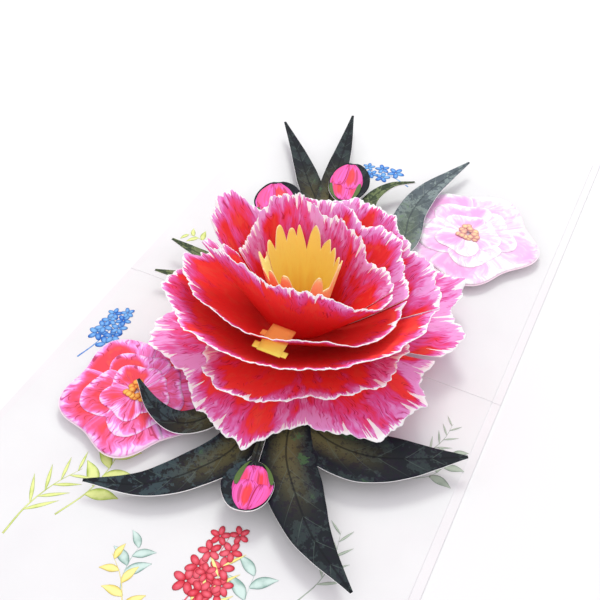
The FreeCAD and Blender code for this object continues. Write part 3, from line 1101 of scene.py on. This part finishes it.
@dataclass
class Leaf:
    """Cut leaf or bud shape that starts glued under the deck and reaches out over the page.

    The places of the middle line are x and y in deck radii and the height in support box heights.
    """

    name: str
    node: str
    root_angle: float
    places: tuple[tuple[float, ...], ...]
    half: float
    print: LeafPrint
    stem: float = 0.0
    cup: float = 1.2
    seed: float = 0.0
    stalk: float = 2.2
    bud_stem: float = 1.3
    tip: float = 0.5
    columns: int = 60
    rows: int = 12

    def path(self) -> Path:
        """Works out the leaf's middle line.

        Returns:
            The line's points in millimetres.
        """
        height = DECK_BOTTOM - STALK_SAG
        points = [around(radius, self.root_angle, height) for radius in (ROOT_RADIUS, DECK_RADIUS)]
        for place in self.places:
            level = SHEET_TOP + place[2] * BOX_HEIGHT if len(place) == 3 else height
            points.append(Vector((place[0] * DECK_RADIUS, place[1] * DECK_RADIUS, level)))
        return tuple(points)

    def half_width(self, share: float) -> float:
        """Works out half of the width.

        Args:
            share: How far along the blade, from 0 to 1.

        Returns:
            Half of the width in millimetres.
        """
        widest = self.half * DECK_RADIUS
        if self.stem:
            if share < self.stem:
                return self.bud_stem
            along = (share - self.stem) / (1 - self.stem)
            return self.bud_stem + (widest - self.bud_stem) * math.sin(math.pi * min(along, 0.999)) ** 0.5
        swell = math.sin(math.pi * share ** 0.85) ** 1.1 if 0 < share < 1 else 0.0
        return mix(self.stalk, self.tip, share) + (widest - self.stalk) * swell

    def at(self, share: float, across: float, lift: float = 0.0) -> Vector:
        """Works out a point of the blade.

        Args:
            share: How far along the blade, from 0 to 1.
            across: How far across it, from -1 to 1.
            lift: Millimetres over the blade itself.

        Returns:
            The point in millimetres.
        """
        place, direction = flow(self.path(), share)
        sideways = Vector((-direction.y, direction.x, 0)).normalized()
        half = self.half_width(share)
        half *= 1 + 0.04 * ripple(share * 9 + across, self.seed + 2)
        flat = len(self.places[0]) == 2
        bend = 0.0 if flat else self.cup * (across * across - 1) * half / 10
        return place + sideways * (half * across) + Vector((0, 0, bend + lift))

    def add_to(self, bm: bmesh.types.BMesh, lift: float = 0.0) -> None:
        """Adds the blade to a mesh.

        Args:
            bm: The mesh.
            lift: Millimetres over the blade's own place.
        """
        length = sum((b - a).length for a, b in zip(self.path(), self.path()[1:]))

        def shape(u: float, v: float) -> tuple[Vector, Vector]:
            """Along the middle line, and from edge to edge.

            Args:
                u: How far along the blade, from 0 to 1.
                v: How far across it, from 0 to 1.

            Returns:
                The point in millimetres and its mark.
            """
            across = 2 * v - 1
            mark = Vector((u * length, across * self.half_width(u), u))
            return self.at(u, across, lift), mark

        drape(bm, self.columns * (2 if self.stem else 1), self.rows, shape)

    def build(self) -> bpy.types.Object:
        """Makes the leaf as a piece of its own.

        Returns:
            The leaf's object, which takes the place of its CAD node.
        """
        bm = new_sheet()
        self.add_to(bm)
        piece = finish_piece(self.name, bm, (self.print.build(), EDGE.build()), PAPER, (self.node,))
        LOG.info("%s", self.name)
        return piece


@dataclass
class LeafPair:
    """Two leaves cut from one piece of card, joined at their stalks."""

    name: str
    node: str
    leaves: tuple[Leaf, Leaf]
    step: float = 0.06

    def build(self) -> bpy.types.Object:
        """Makes both blades as one piece, the second a hair lower where they cross.

        Returns:
            The pair's object, which takes the place of its CAD node.
        """
        bm = new_sheet()
        for place, leaf in enumerate(self.leaves):
            leaf.add_to(bm, -self.step * place)
        materials = (self.leaves[0].print.build(), EDGE.build())
        piece = finish_piece(self.name, bm, materials, PAPER, (self.node,))
        LOG.info("%s", self.name)
        return piece


@dataclass
class Bud:
    """Bud on its stem: the cut green shape, with the painted flower bud lying on it.

    Each petal has the shares of the length that it covers, then the place of its middle line and
    half of its width as shares of the bud's own.
    """

    leaf: Leaf
    middle: float = 0.15
    spread: float = 0.8
    petals: tuple[tuple[float, float, float, float], ...] = (
        (0.06, 0.97, 0.0, 1.0), (0.08, 0.64, -0.4, 0.56), (0.07, 0.6, 0.36, 0.56), (0.36, 0.975, -0.26, 0.7),
        (0.42, 0.96, 0.48, 0.48))
    sepals: tuple[tuple[float, float, float, float], ...] = (
        (0.0, 0.5, -0.85, 0.16), (0.02, 0.42, 0.9, 0.14))
    skip_margin: float = 0.6
    layer_step: float = 0.05
    film: float = 0.04

    def patch(self, bm: bmesh.types.BMesh, petal: tuple[float, float, float, float], layer: int) -> None:
        """Adds one painted petal to a mesh.

        Args:
            bm: The mesh.
            petal: Its start, end, middle line and half of its width, as shares.
            layer: How many petals lie below it.
        """
        start, end, side, half = petal
        centre = self.middle + self.spread * side
        reach = self.spread * half

        def shape(u: float, v: float) -> tuple[Vector, Vector]:
            """Petal with blunt ends that follows the bud's form.

            Args:
                u: How far along the petal, from 0 to 1.
                v: How far across it, from 0 to 1.

            Returns:
                The point in millimetres and its mark.
            """
            across = 2 * v - 1
            swell = math.sin(math.pi * min(max(u, 0.015), 0.985)) ** 0.34
            share = mix(self.leaf.stem, 1.0, mix(start, end, u))
            from_edge = min((1 - abs(across)) * reach, min(u, 1 - u) * (end - start) * 2)
            rim = from_edge * self.leaf.half * DECK_RADIUS
            place = self.leaf.at(share, centre + across * reach * swell, self.layer_step * (layer + 1))
            return place, Vector((layer * 20 + across * 8, rim + self.skip_margin, 0.0))

        drape(bm, 24, 14, shape)

    def build(self) -> None:
        """Makes the green shape, the bud's petals and its sepals."""
        self.leaf.build()
        bm = new_sheet()
        for layer, petal in enumerate(self.petals):
            self.patch(bm, petal, layer)
        printed = PetalPrint(
            "bud_print", rim="B8184A", lilac="E24CA0", violet="EE66C4", pink="EF56A2", warm="F0446E",
            red="EE3848", streak=2.2, depth=3.2, splash=0.0, fall=60.0).build()
        finish_piece(self.leaf.name + "_petals", bm, (printed, printed), self.film)
        bm = new_sheet()
        for layer, sepal in enumerate(self.sepals):
            self.patch(bm, sepal, len(self.petals) + 1 + layer)
        green = WashPrint("sepal_wash", light="B4D060", full="6E8A3E", line="4A6230").build()
        finish_piece(self.leaf.name + "_sepals", bm, (green, green), self.film)
        LOG.info("%s", self.leaf.name)


@dataclass
class Blossom:
    """Raised side blossom: rings of painted petals on its cut card disc.

    Each ring has its number of petals, its size as a share of the disc and its turn in degrees.
    """

    name: str
    node: str
    centre: tuple[float, float]
    radius: float
    print: PetalPrint
    heart: WashPrint
    rings: tuple[tuple[int, float, float], ...] = (
        (5, 0.96, 36.0), (5, 0.985, 0.0), (4, 0.74, 30.0), (3, 0.5, 10.0))
    lobe: float = 0.16
    skip_margin: float = 0.4
    floor: float = SHEET_TOP + 3.0 + PAPER
    layer_step: float = 0.03
    film: float = 0.04
    stamen_dots: int = 22

    def disc_radius(self, angle: float) -> float:
        """Radius of the cut disc at an angle."""
        wave = (1 + math.cos(math.radians(5 * angle))) / 2
        return self.radius * (1 - self.lobe + self.lobe * wave)

    def add_petal(self, bm: bmesh.types.BMesh, level: int, place: int) -> None:
        """Adds one painted petal to a mesh.

        Args:
            bm: The mesh.
            level: Which ring it belongs to, 0 being the outermost.
            place: Which petal of the ring it is.
        """
        count, size, turn = self.rings[level]
        inner = level > 1
        middle = Vector((*self.centre, 0))
        lean = 360 * place / count + turn
        half = 180 / count * (1.2 if level else 1.0)
        height = self.floor + self.layer_step * (6 * level + 1 + place)
        if inner:
            size *= 1 - 0.22 * abs(ripple(place * 1.7, level + self.radius))

        def shape(u: float, v: float) -> tuple[Vector, Vector]:
            """From the blossom's middle out, and from edge to edge.

            Args:
                u: How far out, from 0 to 1.
                v: How far across the petal, from 0 to 1.

            Returns:
                The point in millimetres and its mark.
            """
            across = 2 * v - 1
            angle = lean + across * half * math.sin(math.pi * (0.3 + 0.35 * u))
            rounding = 1 - 0.2 * across ** 4 if inner else 1.0
            reach = self.disc_radius(angle) * size * rounding
            if level != 1:
                reach -= 0.5 * abs(ripple(angle / 4.0, level + place))
            far = mix(self.radius * 0.06, reach, u)
            rim = min((1 - u) * reach, (1 - abs(across)) * math.radians(half) * far)
            mark = Vector((math.radians(angle) * self.radius + 9 * level, rim + self.skip_margin, 0))
            return middle + around(far, angle, height), mark

        drape(bm, 14, 20, shape)

    def build(self) -> None:
        """Makes the painted petals and the heart of the blossom."""
        bm = new_sheet()
        for level, ring in enumerate(self.rings):
            for place in range(ring[0]):
                self.add_petal(bm, level, place)
        printed = self.print.build()
        finish_piece(self.name, bm, (printed, printed), self.film)
        bm = new_sheet()
        for k in range(self.stamen_dots):
            spread = self.radius * 0.16 * (0.6 + 0.6 * ripple(k * 2.1, 3.0))
            spot = around(spread, k * GOLDEN_ANGLE, self.floor + 0.85 + 0.01 * k)
            add_dot(bm, Vector((*self.centre, 0)) + spot, 0.045 * self.radius)
        hearted = self.heart.build()
        finish_piece(self.name + "_heart", bm, (hearted, hearted), self.film)
        LOG.info("%s", self.name)


def add_dot(bm: bmesh.types.BMesh, centre: Vector, radius: float, squash: float = 1.0,
            turn: float = 0.0) -> None:
    """Adds a flat round dot to a mesh.

    Args:
        bm: The mesh.
        centre: Its middle in millimetres.
        radius: Its radius in millimetres.
        squash: Its width across over its length.
        turn: Its turn in degrees.
    """
    layer = bm.verts.layers.float_vector["mark"]
    verts = bmesh.ops.create_circle(bm, cap_ends=True, cap_tris=True, segments=16, radius=1.0)["verts"]
    for vert in verts:
        vert[layer] = Vector((vert.co.length, 0, 0))
        flat = Vector((vert.co.x * radius, vert.co.y * radius * squash, 0))
        flat.rotate(Matrix.Rotation(math.radians(turn), 3, "Z"))
        vert.co = (centre + flat) * MM
    faces = list({face for vert in verts for face in vert.link_faces})
    for face in faces:
        face.normal_update()
    if faces[0].normal.z < 0:
        bmesh.ops.reverse_faces(bm, faces=faces)


def add_blade(bm: bmesh.types.BMesh, start: Vector, angle: float, length: float, half: float,
              bend: float = 0.0) -> None:
    """Adds a small flat painted leaf to a mesh.

    Args:
        bm: The mesh.
        start: Where its stalk is, in millimetres.
        angle: Its direction in degrees.
        length: Its length in millimetres.
        half: Half of its width in millimetres.
        bend: How many degrees it turns towards its tip.
    """
    def shape(u: float, v: float) -> tuple[Vector, Vector]:
        """Bent blade, pointed at both ends.

        Args:
            u: How far along the blade, from 0 to 1.
            v: How far across it, from 0 to 1.

        Returns:
            The point in millimetres and its mark.
        """
        across = 2 * v - 1
        line = around(length * u, angle + bend * u)
        sideways = around(1.0, angle + bend * 2 * u + 90)
        width = half * math.sin(math.pi * min(max(u, 0.03), 0.97) ** 0.8)
        return start + line + sideways * (width * across), Vector((abs(across) ** 2, u, 0))

    drape(bm, 10, 4, shape)


def add_stem(bm: bmesh.types.BMesh, points: Path, half: float) -> None:
    """Adds a thin painted line, thinner towards its end.

    Args:
        bm: The mesh.
        points: The points that the line goes through, in millimetres.
        half: Half of its width in millimetres.
    """
    def shape(u: float, v: float) -> tuple[Vector, Vector]:
        """Along the line, and from edge to edge."""
        place, direction = flow(points, u)
        sideways = Vector((-direction.y, direction.x, 0))
        return place + sideways * (half * (1.2 - u) * (2 * v - 1)), Vector((abs(2 * v - 1), u, 0))

    drape(bm, 12, 2, shape)


class Motif(Enum):
    """What a painted sprig on the sheet carries."""

    LEAVES = "leaves"
    BERRIES = "berries"
    BLOOMS = "blooms"
    TWIG = "twig"


@dataclass
class Sprig:
    """One painted sprig on the printed sheet: a bent stem with leaves, berries or small blooms."""

    start: tuple[float, float]
    angle: float
    length: float
    motif: Motif
    bend: float = 20.0
    size: float = 6.0
    count: int = 6
    half: float = 0.25

    def points(self, height: float) -> Path:
        """Works out the stem.

        Args:
            height: Height of the sheet that it is printed on.

        Returns:
            The stem's points in millimetres.
        """
        foot = Vector((*self.start, height))
        return tuple(foot + around(self.length * share, self.angle + self.bend * share)
                     for share in (0.0, 0.35, 0.7, 1.0))

    def add_to(self, bm: bmesh.types.BMesh, height: float) -> None:
        """Adds the sprig to a mesh.

        Args:
            bm: The mesh.
            height: Height of the sheet that it is printed on.
        """
        line = self.points(height)
        add_stem(bm, line, self.half)
        for k in range(self.count):
            share = 0.25 + 0.75 * (k + 0.5) / self.count
            place, direction = flow(line, share)
            heading = math.degrees(math.atan2(direction.y, direction.x))
            lean = 42 * (1 if k % 2 else -1)
            spot = place + Vector((0, 0, 0.02 + 0.012 * k))
            size = self.size * (1.1 - 0.45 * share)
            if self.motif is Motif.LEAVES:
                add_blade(bm, spot, heading + lean, size, size * 0.2, lean * 0.35)
            elif self.motif is Motif.BERRIES:
                add_dot(bm, spot + around(size * 0.55, heading + lean), size * 0.36)
            elif self.motif is Motif.BLOOMS:
                heart = spot + around(size * 0.8, heading + lean)
                for petal in range(5):
                    turn = 72 * petal + 25 * k
                    add_dot(bm, heart + around(size * 0.36, turn, 0.003 * petal), size * 0.32, 0.62, turn)
            else:
                add_blade(bm, spot, heading + lean, size * 0.8, size * 0.05)


@dataclass
class PrintedMotifs:
    """All painted sprigs of one colour, lying on the printed sheet as one piece."""

    name: str
    finish: WashPrint
    sprigs: tuple[Sprig, ...]
    level: float = 0.02
    step: float = 0.003
    film: float = 0.015

    def build(self) -> bpy.types.Object:
        """Makes the piece.

        Returns:
            The piece's object.
        """
        bm = new_sheet()
        for place, sprig in enumerate(self.sprigs):
            sprig.add_to(bm, SHEET_TOP + self.level + self.step * place)
        printed = self.finish.build()
        piece = finish_piece(self.name, bm, (printed, printed), self.film)
        LOG.info("%s", self.name)
        return piece


@dataclass
class Flower:
    """The flower that pops up: five petal layers, the stamens and the gold straps."""

    layers: tuple[PetalLayer, ...] = (
        PetalLayer(
            number=1, hub=31.0, end_radius=55.0, mid_radius=54.0, end_height=4.5, mid_height=2.5,
            power=1.6, tuck=(0.24, 168.0, 45.0), joints=(-120, -63, -9, 24, 62, 110, 165),
            near_depth=13.0, far_depth=13.0, joint_pale=0.6, splash=10.0, frill=1.7, wave=2.0,
            outline=(
                (-180, -10), (-160, -9), (-150, -6), (-138, -1.5), (-120, -7), (-108, -3), (-99, 2.5),
                (-78, 3.3), (-63, -5.3), (-50, -2), (-40, 4.5), (-22, 2), (-9, -6), (0, -3), (12, 1.6),
                (24, -2.5), (37, 4.1), (50, 2), (62, -1), (80, -4), (110, -6), (150, -6))),
        PetalLayer(
            number=2, hub=19.0, end_radius=47.5, mid_radius=48.5, end_height=15.5, mid_height=13.5,
            power=1.25, tuck=(0.28, 190.0, 65.0), joints=(-112, -60, -12, 50, 110, 170),
            near_depth=8.0, far_depth=9.0, joint_pale=0.5, splash=7.0, frill=1.8, wave=1.5,
            outline=(
                (-180, -12), (-125, -11), (-112, -7), (-103, -0.5), (-88, 3.6), (-75, 0.5),
                (-60, -2.6), (-46, 0.8), (-30, -0.7), (-16, -4.5), (0, -8), (30, -5), (90, -4),
                (150, -8))),
        PetalLayer(
            number=3, hub=15.0, end_radius=47.0, mid_radius=43.0, end_height=25.5, mid_height=23.0,
            power=1.2, tuck=(0.30, 175.0, 45.0), joints=(-126, -50, 14, 44, 98, 165),
            near_depth=4.5, far_depth=7.5, joint_pale=0.4, splash=6.0,
            outline=(
                (-180, -6), (-168, -4), (-150, -1.5), (-138, 1.5), (-126, 1), (-114, 3), (-95, 0),
                (-60, 0), (-40, -1), (-18, 3.5), (-6, 3), (6, 1.5), (18, -2), (30, -3.5), (42, -6),
                (52, -4), (60, -3), (66, -0.5), (90, -1.2), (98, -4), (108, -7), (130, -8), (158, -6),
                (163, 5), (168, -6))),
        PetalLayer(
            number=4, hub=13.0, end_radius=40.0, mid_radius=34.0, end_height=29.0, mid_height=25.0,
            power=1.15, tuck=(0.04, 180.0, 30.0), joints=(-162, -67, 0, 25, 72, 140),
            lift=(0.18, 155.0), lean=(-25, 40, 2, 3),
            near_depth=4.5, far_depth=10.0, joint_pale=0.3, splash=6.0, frill=1.3, wave=1.0,
            outline=(
                (-180, -9), (-165, -7), (-155, 0), (-135, 1), (-118, 4), (-100, 2), (-67, 2), (-50, 1),
                (-30, -2), (-12, -3), (0, -4), (25, -8), (36, -6), (45, -2), (60, -1.5), (72, -5),
                (88, -0.6), (112, -0.6), (130, -12), (140, -12), (147, -8), (154, -1), (165, 0.3),
                (175, -2))),
        PetalLayer(
            number=5, hub=11.5, end_radius=31.0, mid_radius=21.0, end_height=31.5, mid_height=33.0,
            power=1.1, tuck=(0.0, 180.0, 30.0), joints=(-105, -20, 40, 97, 160),
            lift=(0.13, 118.0), lean=(-8, 45, 3, 5),
            near_depth=5.0, far_depth=11.0, joint_pale=0.3, splash=7.0, frill=1.3, wave=0.8,
            outline=(
                (-180, -12), (-168, -6), (-158, 2), (-145, 7), (-128, 9.5), (-112, 7.5), (-100, 3.5),
                (-90, 1.5), (-78, 3), (-60, 2.5), (-48, 4), (-36, 2), (-20, 1), (-8, 1), (0, -1),
                (12, -4), (30, -9), (40, -12), (46, -8), (54, -5), (66, -4), (78, -2.8), (88, -3.5),
                (97, -4), (104, -3), (110, -2), (125, -0.6), (136, -0.6), (146, -4), (155, -8),
                (170, -12))),
    )
    stamens: Stamens = field(default_factory=Stamens)
    strap: Strap = field(default_factory=Strap)

    def build(self) -> None:
        """Makes every half, page by page."""
        for side in Side:
            for layer in self.layers:
                layer.build(side)
            self.stamens.build(side)
            self.strap.build(side)


def dress(node: str, finish: Finish) -> None:
    """Gives a CAD node its finish in place of the one that it came with.

    Args:
        node: The node's name.
        finish: The finish.
    """
    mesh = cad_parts[node].data
    mesh.materials.clear()
    mesh.materials.append(finish.build())
    LOG.info("%s", node)


DARK_LEAF = LeafPrint("leaf_print_dark", seed=1.0, shine=0.1)
NEAR_LEAF = LeafPrint("leaf_print_near", light="37454A", seed=4.0, shine=0.1)
# Painted reflection: this leaf's blade is painted lighter slate grey, standing for the sheen of light on its
# gloss.
PAINTED_SHEEN_LEAF = LeafPrint("leaf_print_painted_sheen", dark="59636A", shade="454E54", light="7E8B8C", olive="5C6B52",
                       green="6E8A60", vein="9CA89E", rib="3E474C", seed=7.0, shine=0.15)
OLIVE_LEAF = LeafPrint("leaf_print_olive", dark="3C4A36", shade="283426", light="6C7A52", olive="7E8058",
                       green="6E8E4A", vein="A4AE84", rib="2C3824", seed=9.0, shine=0.15)


@dataclass
class Greenery:
    """Leaves and buds round the flower."""

    pair: LeafPair = field(default_factory=lambda: LeafPair("leaves_front", "leaf_pair_front", (
        Leaf("leaf_low", "", -67, ((0.568, -1.432), (0.824, -1.757), (1.122, -2.041), (1.568, -2.311)),
             0.265, DARK_LEAF, seed=1),
        Leaf("leaf_high", "", -65, ((0.757, -1.135), (1.135, -1.162), (1.514, -1.027), (1.959, -0.784)),
             0.296, DARK_LEAF, seed=2))))
    leaves: tuple[Leaf, ...] = (
        Leaf("leaf_near_left", "leaf_front_left", -89, (
            (0.135, -1.514, 0.86), (-0.081, -1.919, 0.80), (-0.378, -2.203, 0.76), (-0.838, -2.392, 0.72)),
            0.211, NEAR_LEAF, seed=3),
        Leaf("leaf_curled", "leaf_left", -104, (
            (-0.216, -1.351, 0.94), (-0.405, -1.554, 0.94), (-0.676, -1.527, 1.03), (-0.973, -1.351, 1.25)),
            0.149, NEAR_LEAF, seed=4),
        Leaf("leaf_far_left", "leaf_back_left", 121, (
            (-0.649, 1.676, 0.71), (-0.919, 2.027, 0.83), (-1.216, 2.392, 0.91), (-1.649, 2.865, 1.10)),
            0.165, DARK_LEAF, seed=5),
        Leaf("leaf_far_middle", "leaf_back_middle", 110, (
            (-0.514, 1.676, 1.03), (-0.662, 2.243, 1.07), (-0.784, 2.757, 1.10), (-0.946, 3.351, 1.14)),
            0.162, DARK_LEAF, seed=6),
        Leaf("leaf_arched", "leaf_back_arched", 88, (
            (-0.054, 1.568, 0.99), (-0.108, 1.973, 1.06), (0.0, 2.297, 1.07), (0.216, 2.486, 1.0)),
            0.122, OLIVE_LEAF, seed=7),
        Leaf("leaf_far_right", "leaf_back_right", 70, (
            (0.459, 1.486, 1.03), (0.378, 1.919, 1.03), (0.405, 2.378, 1.02), (0.649, 3.135, 0.93)),
            0.189, PAINTED_SHEEN_LEAF, seed=8),
        Leaf("leaf_small_upper", "leaf_left_upper", 160, (
            (-1.108, 0.324, 1.0), (-1.351, 0.351, 1.06), (-1.730, 0.405, 1.14)), 0.095, OLIVE_LEAF, seed=9),
        Leaf("leaf_small_lower", "leaf_left_lower", 176, (
            (-1.108, 0.027, 0.97), (-1.351, 0.0, 0.99), (-1.649, -0.054, 1.0)), 0.095, OLIVE_LEAF, seed=10),
    )
    buds: tuple[Bud, ...] = (
        Bud(Leaf("bud_near", "bud_front", -78, (
            (0.311, -1.351, 1.17), (0.378, -1.622, 1.24), (0.5, -2.095, 1.20)),
            0.216, NEAR_LEAF, stem=0.64, seed=11), middle=0.2, spread=0.78),
        Bud(Leaf("bud_far", "bud_back", 99, (
            (-0.243, 1.514, 1.23), (-0.351, 1.811, 1.34), (-0.514, 2.405, 1.37)),
            0.230, DARK_LEAF, stem=0.56, seed=12)),
        Bud(Leaf("bud_far_left", "bud_back_left", 134, (
            (-0.811, 1.135, 1.06), (-0.946, 1.378, 1.16), (-1.162, 1.757, 1.17)),
            0.284, DARK_LEAF, stem=0.40, seed=13)),
    )

    def build(self) -> None:
        """Makes every leaf and bud."""
        self.pair.build()
        for leaf in self.leaves:
            leaf.build()
        for bud in self.buds:
            bud.build()


GREEN_WASH = WashPrint("green_wash", light="E4EC9A", full="A8BE4A", line="7C9238")
RED_WASH = WashPrint("red_wash", light="F06C7E", full="D82C40", line="8C1420")
BLUE_WASH = WashPrint("blue_wash", light="7CB8F0", full="1E6CD0", line="174690")
OCHRE_WASH = WashPrint("ochre_wash", light="F8EE9C", full="E4CC5A", line="C8A844")
TEAL_WASH = WashPrint("teal_wash", light="CFE4DE", full="86AAA0", line="54786E")
TWIG_WASH = WashPrint("twig_wash", light="B8C4B4", full="8C9C8C", line="606C60")
ROSE_PRINT = PetalPrint(
    "rose_print", rim="FBD4F4", lilac="F59AE6", violet="EC78BE", pink="E8588E", warm="EA4868",
    red="E83E50", glow="F2604C", hub_shade="C81E50", streak=3.0, depth=6.0, splash=1.0, fall=34.0, seed=31.0)
SHELL_PRINT = PetalPrint(
    "shell_print", rim="FFFFFF", lilac="FCEAFB", violet="F9D8F4", pink="F5C2EC", warm="F3B4E4",
    red="F0AADF", glow="F8D8EE", hub_shade="E494CE", line="F0B8E4", streak=4.0, depth=7.0, splash=2.0,
    fall=40.0, seed=37.0)
ROSE_HEART = WashPrint("rose_heart", light="FFC860", full="F08030", line="C85820")
SHELL_HEART = WashPrint("shell_heart", light="F8D8A0", full="E8A8A0", line="D08090")


@dataclass
class PrintedPages:
    """The folded card, its printed sheet and what lifts the flower off it."""

    plain: tuple[str, ...] = ("support_box_near", "support_box_far", "deck_near", "deck_far",
                              "blossom_pad_left", "blossom_pad_right")
    motifs: tuple[PrintedMotifs, ...] = (
        PrintedMotifs("print_green_sprigs", GREEN_WASH, (
            Sprig((-34, -100), 60, 34, Motif.LEAVES, 25, 11, 7),
            Sprig((-44, -112), 95, 30, Motif.TWIG, -20, 14, 8, 0.3),
            Sprig((-54, 25), 150, 12, Motif.LEAVES, 20, 6, 4),
        )),
        PrintedMotifs("print_red_blooms", RED_WASH, (
            Sprig((13, -118), 75, 36, Motif.BLOOMS, 8, 7, 9),
            Sprig((22, -122), 80, 26, Motif.BLOOMS, 15, 7, 6),
        ), 0.08),
        PrintedMotifs("print_blue_blooms", BLUE_WASH, (
            Sprig((-66, -46), 70, 24, Motif.BLOOMS, 15, 6, 9),
            Sprig((4, 96), 150, 20, Motif.BLOOMS, 20, 6, 5),
        )),
        PrintedMotifs("print_ochre_blades", OCHRE_WASH, (
            Sprig((4, -124), 100, 26, Motif.LEAVES, 25, 8, 5, 0.2),
            Sprig((18, -130), 75, 40, Motif.TWIG, 12, 14, 9, 0.3),
        ), 0.05),
        PrintedMotifs("print_teal_leaves", TEAL_WASH, (
            Sprig((24, -128), 62, 40, Motif.LEAVES, 20, 12, 8, 0.2),
            Sprig((34, -132), 45, 44, Motif.LEAVES, 22, 11, 9, 0.15),
            Sprig((-2, -112), 120, 16, Motif.LEAVES, -20, 9, 4, 0.15),
        )),
        PrintedMotifs("print_grey_twigs", TWIG_WASH, (
            Sprig((54, -34), 35, 22, Motif.TWIG, 30, 8, 8, 0.15),
            Sprig((58, -40), 20, 18, Motif.LEAVES, 40, 8, 5, 0.12),
            Sprig((44, -92), 60, 26, Motif.TWIG, 25, 10, 8, 0.15),
        )),
    )
    blossoms: tuple[Blossom, ...] = (
        Blossom("blossom_left_print", "side_blossom_left", (-36.0, -52.0), 26.0, ROSE_PRINT, ROSE_HEART),
        Blossom("blossom_right_print", "side_blossom_right", (38.0, 74.0), 29.0, SHELL_PRINT, SHELL_HEART),
    )

    def build(self) -> None:
        """Dresses the card's own nodes, then lays the print on them."""
        dress("cover_card", PlainCard("cover_stock", tint="E6E4E6"))
        dress("printed_sheet", PlainCard("sheet_stock", tint="E6E6E7", roughness=0.6, shine=0.1))
        for node in self.plain:
            dress(node, PlainCard("support_stock", tint="EFE6EA"))
        for blossom in self.blossoms:
            dress(blossom.node, PlainCard(blossom.name + "_stock", tint="FBE3F0"))
            blossom.build()
        for motif in self.motifs:
            motif.build()


@dataclass(frozen=True)
class Lamp:
    """Square lamp that shines on the card's middle."""

    name: str
    place: tuple[float, float, float]
    size: float
    power: float
    colour: tuple[float, float, float]

    def build(self) -> None:
        """Adds the lamp to the scene."""
        lamp = bpy.data.lights.new(self.name, "AREA")
        lamp.size = self.size
        lamp.energy = self.power
        lamp.color = self.colour
        holder = bpy.data.objects.new(self.name, lamp)
        holder.location = self.place
        holder.rotation_euler = (-Vector(self.place)).to_track_quat("-Z", "Y").to_euler()
        bpy.context.scene.collection.objects.link(holder)


@dataclass
class Studio:
    """Camera, lamps and pale ground for the picture, in metres."""

    place: tuple[float, float, float] = (0.09179, -0.1851, 0.2323)
    down: float = 46.1
    turn: float = 26.5
    lens: float = 51.0
    lamps: tuple[Lamp, ...] = (
        Lamp("key", (-0.2, 0.55, 0.8), 0.3, 3.7, (0.98, 1.04, 0.96)),
        Lamp("fill", (0.35, -0.75, 0.65), 0.9, 1.3, (1.0, 1.03, 0.98)),
    )
    sky: Colour = (0.98, 0.95, 0.99, 1)
    sky_strength: float = 0.97
    backdrop: Colour = (1, 1, 1, 1)
    ground: PlainCard = PlainCard(
        "ground_paper", tint="E8E8E9", roughness=0.9, bump=0.0, shine=0.1, clouds=0.0)
    ground_half: float = 3.0
    ground_gap: float = 0.05

    def add_camera(self) -> None:
        """Sets the camera where the picture is taken from."""
        camera = bpy.data.cameras.new("camera")
        camera.lens = self.lens
        camera.sensor_width = 36.0
        camera.clip_start = 0.01
        holder = bpy.data.objects.new("camera", camera)
        holder.location = self.place
        holder.rotation_euler = (math.radians(90 - self.down), 0, math.radians(self.turn))
        bpy.context.scene.collection.objects.link(holder)
        bpy.context.scene.camera = holder

    def add_sky(self) -> None:
        """Lights the card softly from all round, with a white backdrop where it is looked at."""
        world = bpy.data.worlds.new("studio")
        bpy.context.scene.world = world
        world.use_nodes = True
        graph = Graph(world.node_tree)
        back = world.node_tree.nodes["Background"]
        path = graph.node("LightPath")
        seen = graph.calc("MAXIMUM", path.outputs["Is Camera Ray"], path.outputs["Is Glossy Ray"])
        graph.feed(back.inputs["Color"], graph.blend(seen, self.sky, self.backdrop))
        rest = graph.times(seen, 1.0 - self.sky_strength)
        graph.feed(back.inputs["Strength"], graph.plus(self.sky_strength, rest))

    def add_ground(self) -> None:
        """Lays the ground just under the card."""
        bm = bmesh.new()
        bmesh.ops.create_grid(bm, x_segments=1, y_segments=1, size=self.ground_half)
        bmesh.ops.translate(bm, verts=bm.verts, vec=(0, 0, -self.ground_gap * MM))
        mesh = bpy.data.meshes.new("ground")
        bm.to_mesh(mesh)
        bm.free()
        mesh.materials.append(self.ground.build())
        ground = bpy.data.objects.new("ground", mesh)
        bpy.context.scene.collection.objects.link(ground)

    def build(self) -> None:
        """Sets up the whole studio."""
        bpy.context.scene.view_settings.view_transform = "Standard"
        self.add_camera()
        for lamp in self.lamps:
            lamp.build()
        self.add_sky()
        self.add_ground()
        LOG.info("studio")


def main() -> None:
    """Builds the card from the pages up."""
    logging.basicConfig(level=logging.INFO, format="%(message)s")
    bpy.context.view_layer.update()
    PrintedPages().build()
    Greenery().build()
    Flower().build()
    Studio().build()


if __name__ == "__main__":
    main()
